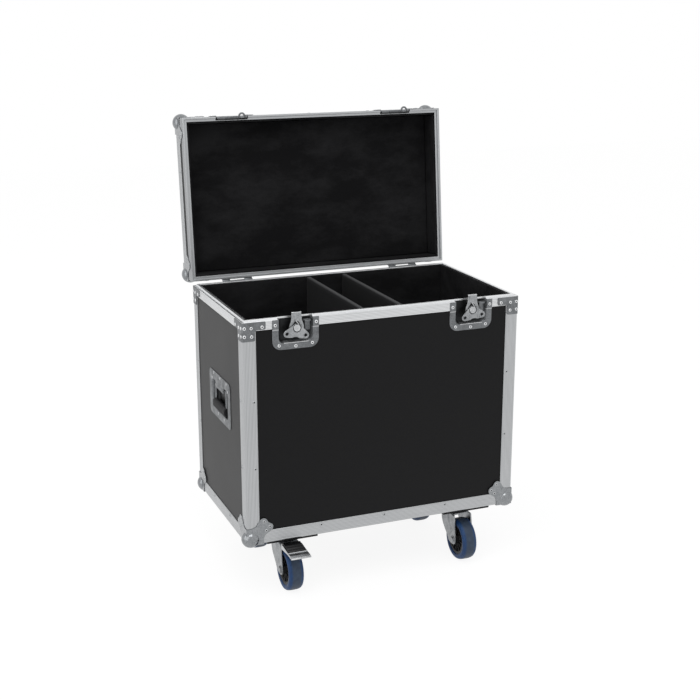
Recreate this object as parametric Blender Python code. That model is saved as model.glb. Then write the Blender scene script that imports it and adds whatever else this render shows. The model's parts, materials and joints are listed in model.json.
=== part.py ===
"""Wheeled flight case: boards held in aluminium edging, with a hinged lid, latches, handles and castors."""

import math

import bpy
from mathutils import Matrix

# Case and lid, outside sizes
case_width = 0.661
case_depth = 0.384
case_height = 0.510
lid_height = 0.070
lid_open_deg = 95.6

# Edging and boards
flange_width = 0.030
edging_wall = 0.0015
edging_round = 0.003
case_board = 0.009
lid_board = 0.007
gap = 0.0003
band_height = 0.020
ledge_width = 0.0052
tongue_height = 0.0037
tongue_slope = 0.0010
tongue_bevel = 0.0006
case_leg_depth = 0.014
lid_leg_depth = 0.014
rabbet_room = 0.0005

# Linings and dividers
case_foam = 0.006
case_foam_rise = 0.002
lid_foam_wall = 0.005
lid_foam_thickness = 0.008
lid_foam_drop = 0.006
divider_thickness = 0.0115
divider_spread = 0.047
divider_rise = 0.0015

# Sheet metal fittings
sheet = 0.0012
seat = 0.0003
sink = 0.0010
beyond = 0.004
weld = 0.0002

# Corner braces at the top of the case
brace_arm = 0.052
brace_depth = 0.0183
brace_upright = 0.028
brace_height = 0.042
brace_drop = 0.0004

# Ball corners
ball_radius = 0.0206
ball_inset = 0.0115
foot_arm = 0.039
foot_round = 0.010
clover = (
    (0.0390, 0.0120), (0.0420, 0.0210), (0.0520, 0.0270), (0.0590, 0.0315), (0.0615, 0.0380),
    (0.0595, 0.0445), (0.0540, 0.0480), (0.0500, 0.0500),
)

# Latches
latch_inset = 0.120
plate_half = 0.053
plate_drop = 0.068
plate_round = 0.020
joggle_low = 0.024
joggle_high = 0.0206
mouth_half = 0.038
mouth_drop = 0.053
mouth_round = 0.012
mouth_slope = 0.004
case_dish_depth = 0.0096
lid_plate_rise = 0.038
lid_plate_round = 0.012
lid_mouth_rise = 0.026
lid_mouth_round = 0.009
lid_dish_depth = 0.0076
hub_drop = 0.020
boss_radius = 0.0055
boss_reach = 0.0061
eye_offset = 0.025
eye_radius = 0.0085
eye_hole = 0.0042
eye_thickness = 0.0028
eye_reach = 0.0078
eye_level = 0.0062
keeper_half = 0.015
keeper_thickness = 0.0034
keeper_set_back = 0.0009
hook_half = 0.0122
hook_foot_half = 0.017
hook_top = 0.0147
hook_neck = 0.002
hook_shoulder = 0.014
hook_foot = 0.034
hook_foot_round = 0.012
hook_stand = 0.0058
hook_lip = 0.0035
hook_slot_radius = 0.0061
hook_drop = 0.008
wing_stand = 0.0082
wing_dome = 0.0008
wing_hub_radius = 0.010
wing_hub_back = 0.0064
wing_reach = 0.0257
wing_lobe_radius = 0.0078
wing_hole_radius = 0.0036
wing_half_spread_deg = 56.0
wing_scallop_radius = 0.013
wing_scallop_reach = 0.0275
wing_tilt_deg = (-8.1, 6.4)

# Side handles
grip_centre_y = -0.0067
grip_plate_top = 0.168
grip_plate_bottom = 0.2755
grip_plate_half = 0.081
grip_plate_round = 0.012
grip_mouth_top = 0.190
grip_mouth_bottom = 0.2565
grip_mouth_half = 0.0605
grip_mouth_round = 0.010
grip_mouth_slope = 0.003
grip_dish_depth = 0.0114
strap_half = 0.032
strap_low = 0.203
strap_high = 0.180
strap_proud = 0.0004
bail_drop = 0.1965
bail_inset = 0.0048
bail_radius = 0.0033
bail_half = 0.041
bail_bend = 0.007
hold_centre_drop = 0.2430
hold_height = 0.022
hold_depth = 0.015
hold_half = 0.045
hold_round = 0.0068
hold_inset = 0.0024

# Hinges
hinge_inset = 0.1125
hinge_back = 0.0071
hinge_drop = 0.0008
leaf_half = 0.037
leaf_thickness = 0.0015
leaf_reach = 0.018
leaf_start = 0.0046
arm_start = 0.0090
arm_end = 0.0035
arm_width = 0.0030
knuckle_radius = 0.0036
knuckle_half = 0.018
pin_radius = 0.0018
pin_half = 0.036
slot_half = 0.040
slot_near = 0.0016
slot_far = 0.0050

# Castors
wheel_headroom = 0.028
castor_inset_x = 0.1115
castor_inset_y = 0.068
castor_offset = 0.033
castor_height = 0.128
board_thickness = 0.010
board_half = 0.0605
board_set_back = 0.014
board_depth = 0.116
mount_half_x = 0.0525
mount_half_y = 0.0425
mount_round = 0.008
mount_thickness = 0.003
mount_hole_x = 0.040
mount_hole_y = 0.030
mount_hole_radius = 0.0042
race_radius = 0.024
race_height = 0.005
head_radius = 0.029
head_height = 0.005
kingpin_radius = 0.0062
kingpin_room = 0.0005
nut_radius = 0.0095
nut_height = 0.0036
crown_thickness = 0.003
leg_inner = 0.0205
leg_thickness = 0.003
axle_radius = 0.004
axle_room = 0.0003
axle_head_radius = 0.0075
axle_head = 0.0035
leg_outline = (
    (-0.0470, 0.0060), (-0.0460, -0.0050), (-0.0410, -0.0100), (-0.0330, -0.0120), (-0.0200, -0.0120),
    (-0.0110, -0.0090), (-0.0020, 0.0020), (0.0100, 0.0130), (0.0200, 0.0220), (0.0270, 0.0340),
    (0.0290, 0.0450),
)
crown_back = 0.029
crown_front = 0.036
crown_set_back = 0.005
leg_waist = (-0.0420, 0.0300)
hub_outline = ((0.0110, 0.0190), (0.0130, 0.0095))
rim_outline = ((0.0220, 0.0080), (0.0190, 0.0145), (0.0136, 0.0153))
tyre_outline = ((0.0133, 0.0152), (0.0060, 0.0180), (0.0020, 0.0145))
tread_half = 0.0078
pedal_half = 0.023
pedal_neck_half = 0.0202
pedal_neck_end = -0.0395
pedal_pivot = (-0.0260, 0.0240)
pedal_outline = (
    (-0.0225, 0.0271), (-0.0360, 0.0250), (-0.0430, 0.0240), (-0.0560, 0.0225), (-0.0810, 0.0205),
    (-0.1120, 0.0218), (-0.1140, 0.0195), (-0.1125, 0.0175), (-0.0820, 0.0152), (-0.0560, 0.0122),
    (-0.0390, 0.0128), (-0.0355, 0.0205), (-0.0225, 0.0205),
)

# Facets of round shapes
arc_steps = 4
small_steps = 12
ball_steps = 16
core_steps = 24
race_steps = 20
tyre_steps = 32

# Levels and edges that follow from the sizes above
half_x = case_width / 2
half_y = case_depth / 2
latch_spread = half_x - latch_inset
hinge_spread = half_x - hinge_inset
castor_spread_x = half_x - castor_inset_x
castor_spread_y = half_y - castor_inset_y
wheel_radius = (castor_height - wheel_headroom) / 2
case_bottom = castor_height + board_thickness
closing = case_bottom + case_height
inset = edging_wall + gap
case_inner = inset + case_board
lid_inner = inset + lid_board
case_leg = case_inner + gap
lid_leg = lid_inner + gap
lip_width = ledge_width - gap
rabbet = tongue_height + rabbet_room
axis_y = half_y + hinge_back
axis_z = closing - hinge_drop
front_reach = castor_spread_y - min(point[0] for point in pedal_outline)
lid_rise = lid_height + hinge_drop + ball_radius - ball_inset
open_angle = math.radians(lid_open_deg)
rear_reach = axis_y - (case_depth + hinge_back) * math.cos(open_angle) + lid_rise * math.sin(open_angle)
shift_y = (front_reach - rear_reach) / 2

LOOKS = {
    "laminate": ((0.022, 0.022, 0.024), 0.55, 0.0),
    "edging": ((0.62, 0.63, 0.64), 0.38, 1.0),
    "fitting_steel": ((0.33, 0.34, 0.35), 0.45, 1.0),
    "bright_steel": ((0.70, 0.71, 0.72), 0.25, 1.0),
    "zinc_fork": ((0.45, 0.46, 0.47), 0.40, 1.0),
    "foam": ((0.012, 0.012, 0.013), 0.95, 0.0),
    "divider_fabric": ((0.060, 0.062, 0.066), 0.95, 0.0),
    "grip_black": ((0.015, 0.015, 0.016), 0.60, 0.0),
    "wheel_core": ((0.020, 0.020, 0.022), 0.50, 0.0),
    "tyre_blue": ((0.020, 0.055, 0.135), 0.60, 0.0),
}


def clear_scene():
    for thing in list(bpy.data.objects):
        bpy.data.objects.remove(thing, do_unlink=True)


def material_of(look):
    found = bpy.data.materials.get(look)
    if found:
        return found
    colour, roughness, metallic = LOOKS[look]
    made = bpy.data.materials.new(look)
    made.use_nodes = True
    shader = made.node_tree.nodes["Principled BSDF"]
    shader.inputs["Base Color"].default_value = (*colour, 1.0)
    shader.inputs["Roughness"].default_value = roughness
    shader.inputs["Metallic"].default_value = metallic
    return made


def outward(points, faces):
    """The same shape with every face turned to look outwards."""
    volume = 0.0
    for face in faces:
        ax, ay, az = points[face[0]]
        for second, third in zip(face[1:-1], face[2:]):
            bx, by, bz = points[second]
            cx, cy, cz = points[third]
            volume += ax * (by * cz - bz * cy) - ay * (bx * cz - bz * cx) + az * (bx * cy - by * cx)
    if volume < 0:
        faces = [tuple(reversed(face)) for face in faces]
    return points, faces


def placed(axis, a, b, c):
    """A point from two values across an axis and one along it."""
    return {"x": (c, a, b), "y": (a, c, b), "z": (a, b, c)}[axis]


def taper(first, low, second, high, axis):
    """A solid between two outlines that have the same number of points."""
    count = len(first)
    points = [placed(axis, a, b, low) for a, b in first] + [placed(axis, a, b, high) for a, b in second]
    faces = [tuple(range(count)), tuple(range(2 * count - 1, count - 1, -1))]
    for i in range(count):
        j = (i + 1) % count
        faces.append((j, i, i + count, j + count))
    return outward(points, faces)


def prism(outline, low, high, axis):
    return taper(outline, low, outline, high, axis)


def box(x0, x1, y0, y1, z0, z1):
    return prism(((x0, y0), (x1, y0), (x1, y1), (x0, y1)), z0, z1, "z")


def arc(a, b, radius, start_deg, end_deg, steps):
    found = []
    for i in range(steps + 1):
        angle = math.radians(start_deg + (end_deg - start_deg) * i / steps)
        found.append((a + radius * math.cos(angle), b + radius * math.sin(angle)))
    return found


def circle(a, b, radius, steps):
    return arc(a, b, radius, 0, 360, steps)[:-1]


def rounded(a0, a1, b0, b1, radius, low=True, high=True):
    """A rectangle with the corners rounded at its low end in b, its high end, or both."""
    outline = []
    if low:
        outline += arc(a0 + radius, b0 + radius, radius, 180, 270, arc_steps)
        outline += arc(a1 - radius, b0 + radius, radius, 270, 360, arc_steps)
    else:
        outline += [(a0, b0), (a1, b0)]
    if high:
        outline += arc(a1 - radius, b1 - radius, radius, 0, 90, arc_steps)
        outline += arc(a0 + radius, b1 - radius, radius, 90, 180, arc_steps)
    else:
        outline += [(a1, b1), (a0, b1)]
    return outline


def hull(points):
    """The outline stretched round a set of points."""
    ordered = sorted(set(points))
    ends = []
    for run in (ordered, ordered[::-1]):
        side = []
        for point in run:
            while len(side) > 1 and turn(side[-2], side[-1], point) <= 0:
                side.pop()
            side.append(point)
        ends += side[:-1]
    return ends


def turn(first, second, third):
    return ((second[0] - first[0]) * (third[1] - first[1])
            - (second[1] - first[1]) * (third[0] - first[0]))


def lathe(profile, centre, axis, steps):
    """A profile of (radius, distance along the axis) turned about an axis. A facet faces straight down."""
    points = []
    rings = []
    for radius, along in profile:
        ring = []
        for i in range(steps if radius else 1):
            angle = 2 * math.pi * (i + 1 / 2) / steps
            a, b, c = placed(axis, -radius * math.sin(angle), -radius * math.cos(angle), along)
            ring.append(len(points))
            points.append((centre[0] + a, centre[1] + b, centre[2] + c))
        rings.append(ring)
    faces = []
    for near, far in zip(rings, rings[1:] + rings[:1]):
        for i in range(steps):
            j = (i + 1) % steps
            loop = [near[i % len(near)], near[j % len(near)], far[j % len(far)], far[i % len(far)]]
            kept = list(dict.fromkeys(loop))
            if len(kept) > 2:
                faces.append(tuple(kept))
    return outward(points, faces)


def rod(start, end, radius, axis, steps=small_steps):
    """A round bar from one point to another along an axis."""
    along = "xyz".index(axis)
    length = end - start[along]
    return lathe(((0, 0), (radius, 0), (radius, length), (0, length)), start, axis, steps)


def ball(centre, radius):
    half = ball_steps // 2
    profile = [(radius * math.sin(math.pi * i / half), -radius * math.cos(math.pi * i / half))
               for i in range(1, half)]
    return lathe([(0, -radius)] + profile + [(0, radius)], centre, "z", ball_steps)


def mitred(profile):
    """A profile of (distance inwards, height over the closing plane) run round the case's outline."""
    points = []
    for sx, sy in ((-1, -1), (1, -1), (1, 1), (-1, 1)):
        for inwards, height in profile:
            points.append((sx * (half_x - inwards), sy * (half_y - inwards), closing + height))
    count = len(profile)
    faces = []
    for side in range(4):
        other = (side + 1) % 4
        for i in range(count):
            j = (i + 1) % count
            faces.append((side * count + i, side * count + j, other * count + j, other * count + i))
    return outward(points, faces)


def bent_rod(path, radius, steps=small_steps):
    """A round bar that follows a path of (y, z) points in a plane square to X."""
    points = []
    for i, (x, y, z) in enumerate(path):
        before = path[max(i - 1, 0)]
        after = path[min(i + 1, len(path) - 1)]
        dy, dz = after[1] - before[1], after[2] - before[2]
        length = math.hypot(dy, dz)
        side_y, side_z = -dz / length, dy / length
        for k in range(steps):
            angle = 2 * math.pi * k / steps
            reach = radius * math.sin(angle)
            points.append((x + radius * math.cos(angle), y + reach * side_y, z + reach * side_z))
    faces = [tuple(range(steps)), tuple(range(len(points) - 1, len(points) - steps - 1, -1))]
    for i in range(len(path) - 1):
        for k in range(steps):
            m = (k + 1) % steps
            faces.append((i * steps + m, i * steps + k, (i + 1) * steps + k, (i + 1) * steps + m))
    return outward(points, faces)


def together(shapes):
    """Several separate shapes as one."""
    points = []
    faces = []
    for more_points, more_faces in shapes:
        start = len(points)
        points += list(more_points)
        faces += [tuple(start + i for i in face) for face in more_faces]
    return points, faces


def mirrored(shape, sx=1, sy=1):
    points, faces = shape
    return outward([(sx * x, sy * y, z) for x, y, z in points], list(faces))


def moved(shape, dx, dy=0, dz=0):
    points, faces = shape
    return [(x + dx, y + dy, z + dz) for x, y, z in points], faces


def mesh_of(name, shape, pivot):
    points, faces = shape
    mesh = bpy.data.meshes.new(name)
    mesh.from_pydata([(x - pivot[0], y - pivot[1], z - pivot[2]) for x, y, z in points], [], faces)
    mesh.update()
    made = bpy.data.objects.new(name, mesh)
    made.location = (pivot[0], pivot[1] + shift_y, pivot[2])
    bpy.context.scene.collection.objects.link(made)
    return made


def piece(name, shape, look, pivot=(0, 0, 0), smooth=False):
    """A finished sub-part in its material, with its origin at the pivot."""
    made = mesh_of(name, shape, pivot)
    made.data.materials.append(material_of(look))
    made.data.polygons.foreach_set("use_smooth", [smooth] * len(made.data.polygons))
    return made


def helper(owner, shape):
    """A hidden shape that a Boolean on its owner uses."""
    made = mesh_of(f"{owner.name}_tool_{len(owner.modifiers) + 1}", shape, (0, 0, 0))
    made.hide_render = True
    made.display_type = "WIRE"
    return made


def combine(owner, other, operation):
    step = owner.modifiers.new(f"{operation.lower()}_{len(owner.modifiers) + 1}", "BOOLEAN")
    step.operation = operation
    step.solver = "EXACT"
    step.object = other


def cut(owner, shape):
    combine(owner, helper(owner, shape), "DIFFERENCE")


def join(owner, shape):
    combine(owner, helper(owner, shape), "UNION")


def keep(owner, shape):
    combine(owner, helper(owner, shape), "INTERSECT")


def lid_piece(name, shape, look, smooth=False):
    """A sub-part of the lid, made shut with its origin on the hinge axis."""
    made = piece(name, shape, look, pivot=(0, axis_y, axis_z), smooth=smooth)
    made["lid"] = True
    return made


def open_the_lid():
    """Settles the lid's shapes while it is shut, then turns each about the hinge axis."""
    turned = Matrix.Rotation(-open_angle, 4, "X")
    lid = [thing for thing in bpy.data.objects if thing.get("lid")]
    bpy.context.view_layer.update()
    graph = bpy.context.evaluated_depsgraph_get()
    settled = [bpy.data.meshes.new_from_object(thing.evaluated_get(graph)) for thing in lid]
    for thing, mesh in zip(lid, settled):
        mesh.transform(turned)
        for step in list(thing.modifiers):
            thing.modifiers.remove(step)
        thing.data = mesh


def board_box(x_in, y_in, z0, z1):
    """A block set in from the case's sides and from its front and back."""
    return box(-half_x + x_in, half_x - x_in, -half_y + y_in, half_y - y_in, z0, z1)


def rounded_block(z0, z1):
    """The case's outline as a block with its upright edges rounded."""
    return prism(rounded(-half_x, half_x, -half_y, half_y, edging_round), z0, z1, "z")


def latch_window(inner, low, high):
    """The openings in the front that the latch dishes fill, in boards and rims alike."""
    half = mouth_half + sheet + gap
    return together(box(side * latch_spread - half, side * latch_spread + half,
                        -half_y - beyond, -half_y + inner, low, high) for side in (-1, 1))


def handle_window():
    half = grip_mouth_half + sheet + gap
    low = closing - grip_mouth_bottom - sheet - gap
    high = closing - grip_mouth_top + sheet + gap
    return box(-half_x - beyond, -half_x + case_inner + beyond,
               grip_centre_y - half, grip_centre_y + half, low, high)


def build_case_boards():
    low = case_bottom + inset
    high = closing - inset
    wall = box(-half_x + inset, half_x - inset, -half_y + inset, -half_y + case_inner, low, high)
    front = piece("front_panel", wall, "laminate")
    cut(front, latch_window(case_inner + beyond, closing - mouth_drop - sheet - gap, closing + beyond))
    piece("back_panel", mirrored(wall, sy=-1), "laminate")
    end = half_y - case_inner - gap
    side = box(-half_x + inset, -half_x + case_inner, -end, end, low, high)
    cut(piece("left_panel", side, "laminate"), handle_window())
    cut(piece("right_panel", mirrored(side, sx=-1), "laminate"), mirrored(handle_window(), sx=-1))
    clear = case_inner + gap
    base = piece("base_panel", board_box(clear, clear, low, low + case_board), "laminate")
    join(base, together(castor_board(sx, sy) for sx in (-1, 1) for sy in (-1, 1)))


def castor_board(sx, sy):
    """A board under the case that a castor is bolted to, stepped up between the edging's flanges."""
    front = half_y - board_set_back
    step = half_y - flange_width - gap
    top = case_bottom - gap
    outline = ((front, castor_height), (front, top), (step, top), (step, case_bottom + inset + sink),
               (front - board_depth, case_bottom + inset + sink), (front - board_depth, castor_height))
    block = prism(outline, castor_spread_x - board_half, castor_spread_x + board_half, "x")
    return mirrored(block, sx, sy)


def build_case_edging():
    top = closing - band_height - gap
    frame = piece("case_edge_frame", rounded_block(case_bottom, top), "edging")
    hollow = board_box(edging_wall, edging_wall, case_bottom + edging_wall, top + beyond)
    cut(frame, hollow)
    cut(frame, board_box(flange_width, -beyond, case_bottom + flange_width, top + beyond))
    cut(frame, board_box(-beyond, flange_width, case_bottom + flange_width, top + beyond))
    cut(frame, board_box(flange_width, flange_width, case_bottom - beyond, case_bottom + flange_width))


def build_case_rim():
    leg_out = case_leg + edging_wall
    profile = ((0, -band_height), (0, 0), (ledge_width, 0), (ledge_width + tongue_slope, tongue_height),
               (leg_out - tongue_bevel, tongue_height), (leg_out, tongue_height - tongue_bevel),
               (leg_out, -case_leg_depth), (case_leg, -case_leg_depth), (case_leg, -edging_wall),
               (edging_wall, -edging_wall), (edging_wall, -band_height))
    rim = piece("case_rim", mitred(profile), "edging")
    cut(rim, latch_window(case_leg - gap / 2, closing - band_height - beyond, closing + band_height))
    cut(rim, together(hinge_slot(side) for side in (-1, 1)))


def hinge_slot(side):
    middle = side * hinge_spread
    return box(middle - slot_half, middle + slot_half, half_y - slot_far, half_y - slot_near,
               closing - edging_wall - gap, closing + beyond)


def build_braces():
    for name, sx, sy in corners():
        outer = seat + sheet
        plan = ((-outer, -outer), (brace_arm, -outer), (brace_arm, -seat), (-seat, -seat),
                (-seat, brace_arm), (-outer, brace_arm))
        plan = [(a - half_x, b - half_y) for a, b in plan]
        shape = prism(plan, closing - brace_height, closing - brace_drop, "z")
        brace = piece(f"corner_brace_{name}", mirrored(shape, sx, sy), "fitting_steel")
        low = closing - brace_height - beyond
        high = closing - brace_depth
        ends = [box(-half_x + brace_upright, -half_x + brace_arm + beyond, -half_y - beyond, -half_y,
                    low, high),
                box(-half_x - beyond, -half_x, -half_y + brace_upright, -half_y + brace_arm + beyond,
                    low, high)]
        cut(brace, mirrored(together(ends), sx, sy))


def corners():
    """Name and mirror signs of each upright corner, for shapes made at the front left."""
    return (("front_left", 1, 1), ("front_right", -1, 1), ("back_left", 1, -1), ("back_right", -1, -1))


def clover_outline(a0, b0, sign):
    """The lobed flange of a ball corner, from the corner at (a0, b0), with b rising or falling."""
    lip = weld - seat - sheet
    arm = clover[0][0]
    half = [(arm, lip)] + list(clover)
    outline = [(lip, lip)] + half + [(b, a) for a, b in reversed(half[:-1])]
    return [(a0 + a, b0 + sign * b) for a, b in outline]


def ball_corner(name, level, sign, sx, sy):
    """A ball corner at a lower corner of the case (sign 1) or an upper corner of the lid (sign -1)."""
    outer = seat + sheet
    centre = (-half_x + ball_inset, -half_y + ball_inset, level + sign * ball_inset)
    front = prism(clover_outline(-half_x, level, sign), -half_y - outer, -half_y + sink, "y")
    side = prism(clover_outline(-half_y, level, sign), -half_x - outer, -half_x + sink, "x")
    low, high = sorted((level - sign * outer, level + sign * sink))
    lip = weld - outer
    foot = prism(rounded(-half_x + lip, -half_x + foot_arm, -half_y + lip, -half_y + foot_arm,
                         foot_round, low=False), low, high, "z")
    far = foot_arm + flange_width
    low, high = sorted((level - sign * seat, level + sign * far))
    room = box(-half_x - seat, -half_x + far, -half_y - seat, -half_y + far, low, high)

    make = lid_piece if sign < 0 else piece
    made = make(name, mirrored(ball(centre, ball_radius), sx, sy), "fitting_steel", smooth=True)
    for plate in (front, side, foot):
        join(made, mirrored(plate, sx, sy))
    cut(made, mirrored(room, sx, sy))


def build_ball_corners():
    for name, sx, sy in corners():
        ball_corner(f"case_corner_{name}", case_bottom, 1, sx, sy)
        ball_corner(f"lid_corner_{name}", closing + lid_height, -1, sx, sy)


def build_linings():
    outer = case_leg + edging_wall + gap
    low = case_bottom + case_inner + gap
    top = closing + case_foam_rise
    lining = piece("case_lining", board_box(outer, outer, low, top), "foam")
    inner = outer + case_foam
    cut(lining, board_box(inner, inner, low + case_foam, top + beyond))
    end = half_y - inner - gap
    for side, name in ((-1, "left"), (1, "right")):
        middle = side * divider_spread
        block = box(middle - divider_thickness / 2, middle + divider_thickness / 2, -end, end,
                    low + case_foam + gap, closing + divider_rise)
        piece(f"divider_{name}", block, "divider_fabric")


def build_lid_shell():
    top = closing + lid_height - inset
    low = closing + rabbet + edging_wall + gap
    shell = lid_piece("lid_shell", board_box(inset, inset, low, top), "laminate")
    cut(shell, board_box(lid_inner, lid_inner, low - beyond, top - lid_board))
    cut(shell, latch_window(lid_inner + beyond, low - beyond, closing + lid_mouth_rise + sheet + gap))


def build_lid_edging():
    low = closing + band_height + gap
    top = closing + lid_height
    frame = lid_piece("lid_edge_frame", rounded_block(low, top), "edging")
    high = top - flange_width
    cut(frame, board_box(edging_wall, edging_wall, low - beyond, top - edging_wall))
    cut(frame, board_box(flange_width, -beyond, low - beyond, high))
    cut(frame, board_box(-beyond, flange_width, low - beyond, high))
    cut(frame, board_box(flange_width, flange_width, high, top + beyond))


def build_lid_rim():
    leg_out = lid_leg + edging_wall
    floor = rabbet + edging_wall
    profile = ((0, gap), (lip_width, gap), (lip_width, rabbet), (leg_out, rabbet), (leg_out, lid_leg_depth),
               (lid_leg, lid_leg_depth), (lid_leg, floor), (edging_wall, floor), (edging_wall, band_height),
               (0, band_height))
    rim = lid_piece("lid_rim", mitred(profile), "edging")
    cut(rim, latch_window(lid_leg - gap / 2, closing - beyond, closing + band_height + beyond))


def build_lid_lining():
    outer = lid_leg + edging_wall + gap
    low = closing + lid_foam_drop
    top = closing + lid_height - lid_inner - gap
    lining = lid_piece("lid_lining", board_box(outer, outer, low, top), "foam")
    inner = outer + lid_foam_wall
    cut(lining, board_box(inner, inner, low - beyond, top - lid_foam_thickness))


def joggled(depth_from, depth_to, level_low, level_high, reach):
    """The section of a latch flange, over the rim's band and then down on to the board."""
    step = inset
    sign = 1 if reach > 0 else -1
    outline = [(depth_from - step, 0), (depth_from - step, sign * level_high), (depth_from, sign * level_low),
               (depth_from, reach), (depth_to, reach), (depth_to, sign * level_low),
               (depth_to - (0 if depth_to > inset else step), sign * level_high),
               (depth_to - (0 if depth_to > inset else step), 0)]
    return [(-half_y + depth, closing + height) for depth, height in outline]


def latch_dish(name, middle, reach, plate_radius, mouth, mouth_radius, floor):
    """A recessed dish let into the front, open at the closing plane; reach and mouth are signed heights."""
    sign = 1 if reach > 0 else -1
    on_board = inset - seat - sheet
    section = joggled(on_board, on_board + sheet, joggle_low, joggle_high, reach)

    def outline(half, height, radius, start):
        low, high = sorted((closing + sign * start, closing + height))
        return rounded(middle - half, middle + half, low, high, radius, low=sign < 0, high=sign > 0)

    def bowl(grow, start, front, back):
        half = mouth_half + grow
        height = mouth + sign * grow
        return taper(outline(half, height, mouth_radius, start), front,
                     outline(half - mouth_slope, height - sign * mouth_slope, mouth_radius, start), back, "y")

    make = lid_piece if sign > 0 else piece
    dish = make(name, prism(section, middle - plate_half - sink, middle + plate_half + sink, "x"),
                "fitting_steel")
    wide = outline(plate_half, reach, plate_radius, seat)
    keep(dish, prism(wide, -half_y - beyond, -half_y + beyond, "y"))
    behind = joggled(on_board + sheet / 2, floor + beyond, joggle_low, joggle_high, reach + sign * sink)
    pan = helper(dish, bowl(sheet, seat, -half_y - sheet, -half_y + floor + sheet))
    keep(pan, prism(behind, middle - plate_half, middle + plate_half, "x"))
    combine(dish, pan, "UNION")
    cut(dish, bowl(0, -beyond, -half_y - beyond, -half_y + floor))
    eye = rounded(middle + eye_offset - eye_radius, middle + eye_offset + eye_radius,
                  -half_y - eye_reach, -half_y + floor + sheet / 2, eye_radius - gap, high=False)
    level = closing + sign * eye_level
    join(dish, prism(eye, level - eye_thickness / 2, level + eye_thickness / 2, "z"))
    hole = circle(middle + eye_offset, -half_y - eye_reach + eye_radius, eye_hole, small_steps)
    cut(dish, prism(hole, level - eye_thickness, level + eye_thickness, "z"))
    return dish


def build_latch_dishes():
    for side, name in ((-1, "left"), (1, "right")):
        middle = side * latch_spread
        dish = latch_dish(f"latch_dish_{name}", middle, -plate_drop, plate_round, -mouth_drop, mouth_round,
                          case_dish_depth)
        start = (middle, -half_y - boss_reach, closing - hub_drop)
        join(dish, rod(start, -half_y + case_dish_depth + sheet / 2, boss_radius, "y"))
        upper = latch_dish(f"lid_latch_dish_{name}", middle, lid_plate_rise, lid_plate_round,
                           lid_mouth_rise, lid_mouth_round, lid_dish_depth)
        top = closing + hook_top - hook_drop - sheet - gap
        keeper = box(middle - keeper_half, middle + keeper_half, -half_y + keeper_set_back,
                     -half_y + lid_dish_depth + sheet / 2, top - keeper_thickness, top)
        join(upper, keeper)


def build_hooks():
    for side, name in ((-1, "left"), (1, "right")):
        middle = side * latch_spread
        top = closing + hook_top
        foot = closing - hook_foot
        left = arc(middle - hook_foot_half + hook_foot_round, foot + hook_foot_round, hook_foot_round,
                   180, 270, arc_steps)
        right = arc(middle + hook_foot_half - hook_foot_round, foot + hook_foot_round, hook_foot_round,
                    270, 360, arc_steps)
        outline = left + right + [(middle + hook_foot_half, closing - hook_shoulder),
                                  (middle + hook_half, closing + hook_neck), (middle + hook_half, top),
                                  (middle - hook_half, top), (middle - hook_half, closing + hook_neck),
                                  (middle - hook_foot_half, closing - hook_shoulder)]
        front = -half_y - hook_stand
        hub = closing - hub_drop
        made = piece(f"latch_hook_{name}", prism(outline, front, front + sheet, "y"), "bright_steel",
                     pivot=(middle, front, hub))
        lip = box(middle - hook_half, middle + hook_half, front, front + hook_lip,
                  top - sheet, top)
        join(made, lip)
        slot = (arc(middle, hub, hook_slot_radius, 180, 360, arc_steps)
                + arc(middle, hub + hook_drop, hook_slot_radius, 0, 180, arc_steps))
        cut(made, prism(slot, front - beyond, front + beyond, "y"))


def build_wings():
    for tilt, side, name in zip(wing_tilt_deg, (-1, 1), ("left", "right")):
        middle = side * latch_spread
        hub = closing - hub_drop
        front = -half_y - wing_stand - sheet
        lobes = []
        for turn_deg in (-wing_half_spread_deg, wing_half_spread_deg):
            angle = math.radians(270 + tilt + turn_deg)
            lobes.append((middle + wing_reach * math.cos(angle), hub + wing_reach * math.sin(angle)))
        rims = circle(middle, hub, wing_hub_radius, small_steps)
        for a, b in lobes:
            rims += circle(a, b, wing_lobe_radius, small_steps)
        made = piece(f"latch_wing_{name}", prism(hull(rims), front, front + sheet, "y"), "fitting_steel",
                     pivot=(middle, front, hub))
        down = math.radians(270 + tilt)
        scallop = circle(middle + wing_scallop_reach * math.cos(down),
                         hub + wing_scallop_reach * math.sin(down), wing_scallop_radius, small_steps)
        holes = [prism(circle(a, b, wing_hole_radius, small_steps), front - beyond, front + beyond, "y")
                 for a, b in lobes]
        cut(made, together(holes + [prism(scallop, front - beyond, front + beyond, "y")]))
        start = (middle, front - wing_dome, hub)
        join(made, rod(start, -half_y - wing_hub_back, wing_hub_radius - gap, "y"))


def build_handles():
    for sx, name in ((1, "left"), (-1, "right")):
        face = -half_x + inset - seat - sheet
        top, bottom = closing - grip_plate_top, closing - grip_plate_bottom
        plate = rounded(grip_centre_y - grip_plate_half, grip_centre_y + grip_plate_half, bottom, top,
                        grip_plate_round)
        dish = piece(f"handle_dish_{name}", mirrored(prism(plate, face, face + sheet, "x"), sx),
                     "fitting_steel")
        back = -half_x + grip_dish_depth
        join(dish, mirrored(taper(handle_mouth(sheet, 0), face + sheet / 2,
                                  handle_mouth(sheet, grip_mouth_slope), back + sheet, "x"), sx))
        cut(dish, mirrored(taper(handle_mouth(0, 0), face - beyond,
                                 handle_mouth(0, grip_mouth_slope), back, "x"), sx))
        strap = box(face - strap_proud, face + sheet - strap_proud, grip_centre_y - strap_half,
                    grip_centre_y + strap_half, closing - strap_low, closing - strap_high)
        join(dish, mirrored(strap, sx))


def handle_mouth(out, inwards):
    """The opening of a handle dish, grown outwards or drawn in by its sloping walls."""
    grow = out - inwards
    return rounded(grip_centre_y - grip_mouth_half - grow, grip_centre_y + grip_mouth_half + grow,
                   closing - grip_mouth_bottom - grow, closing - grip_mouth_top + grow, grip_mouth_round)


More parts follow.
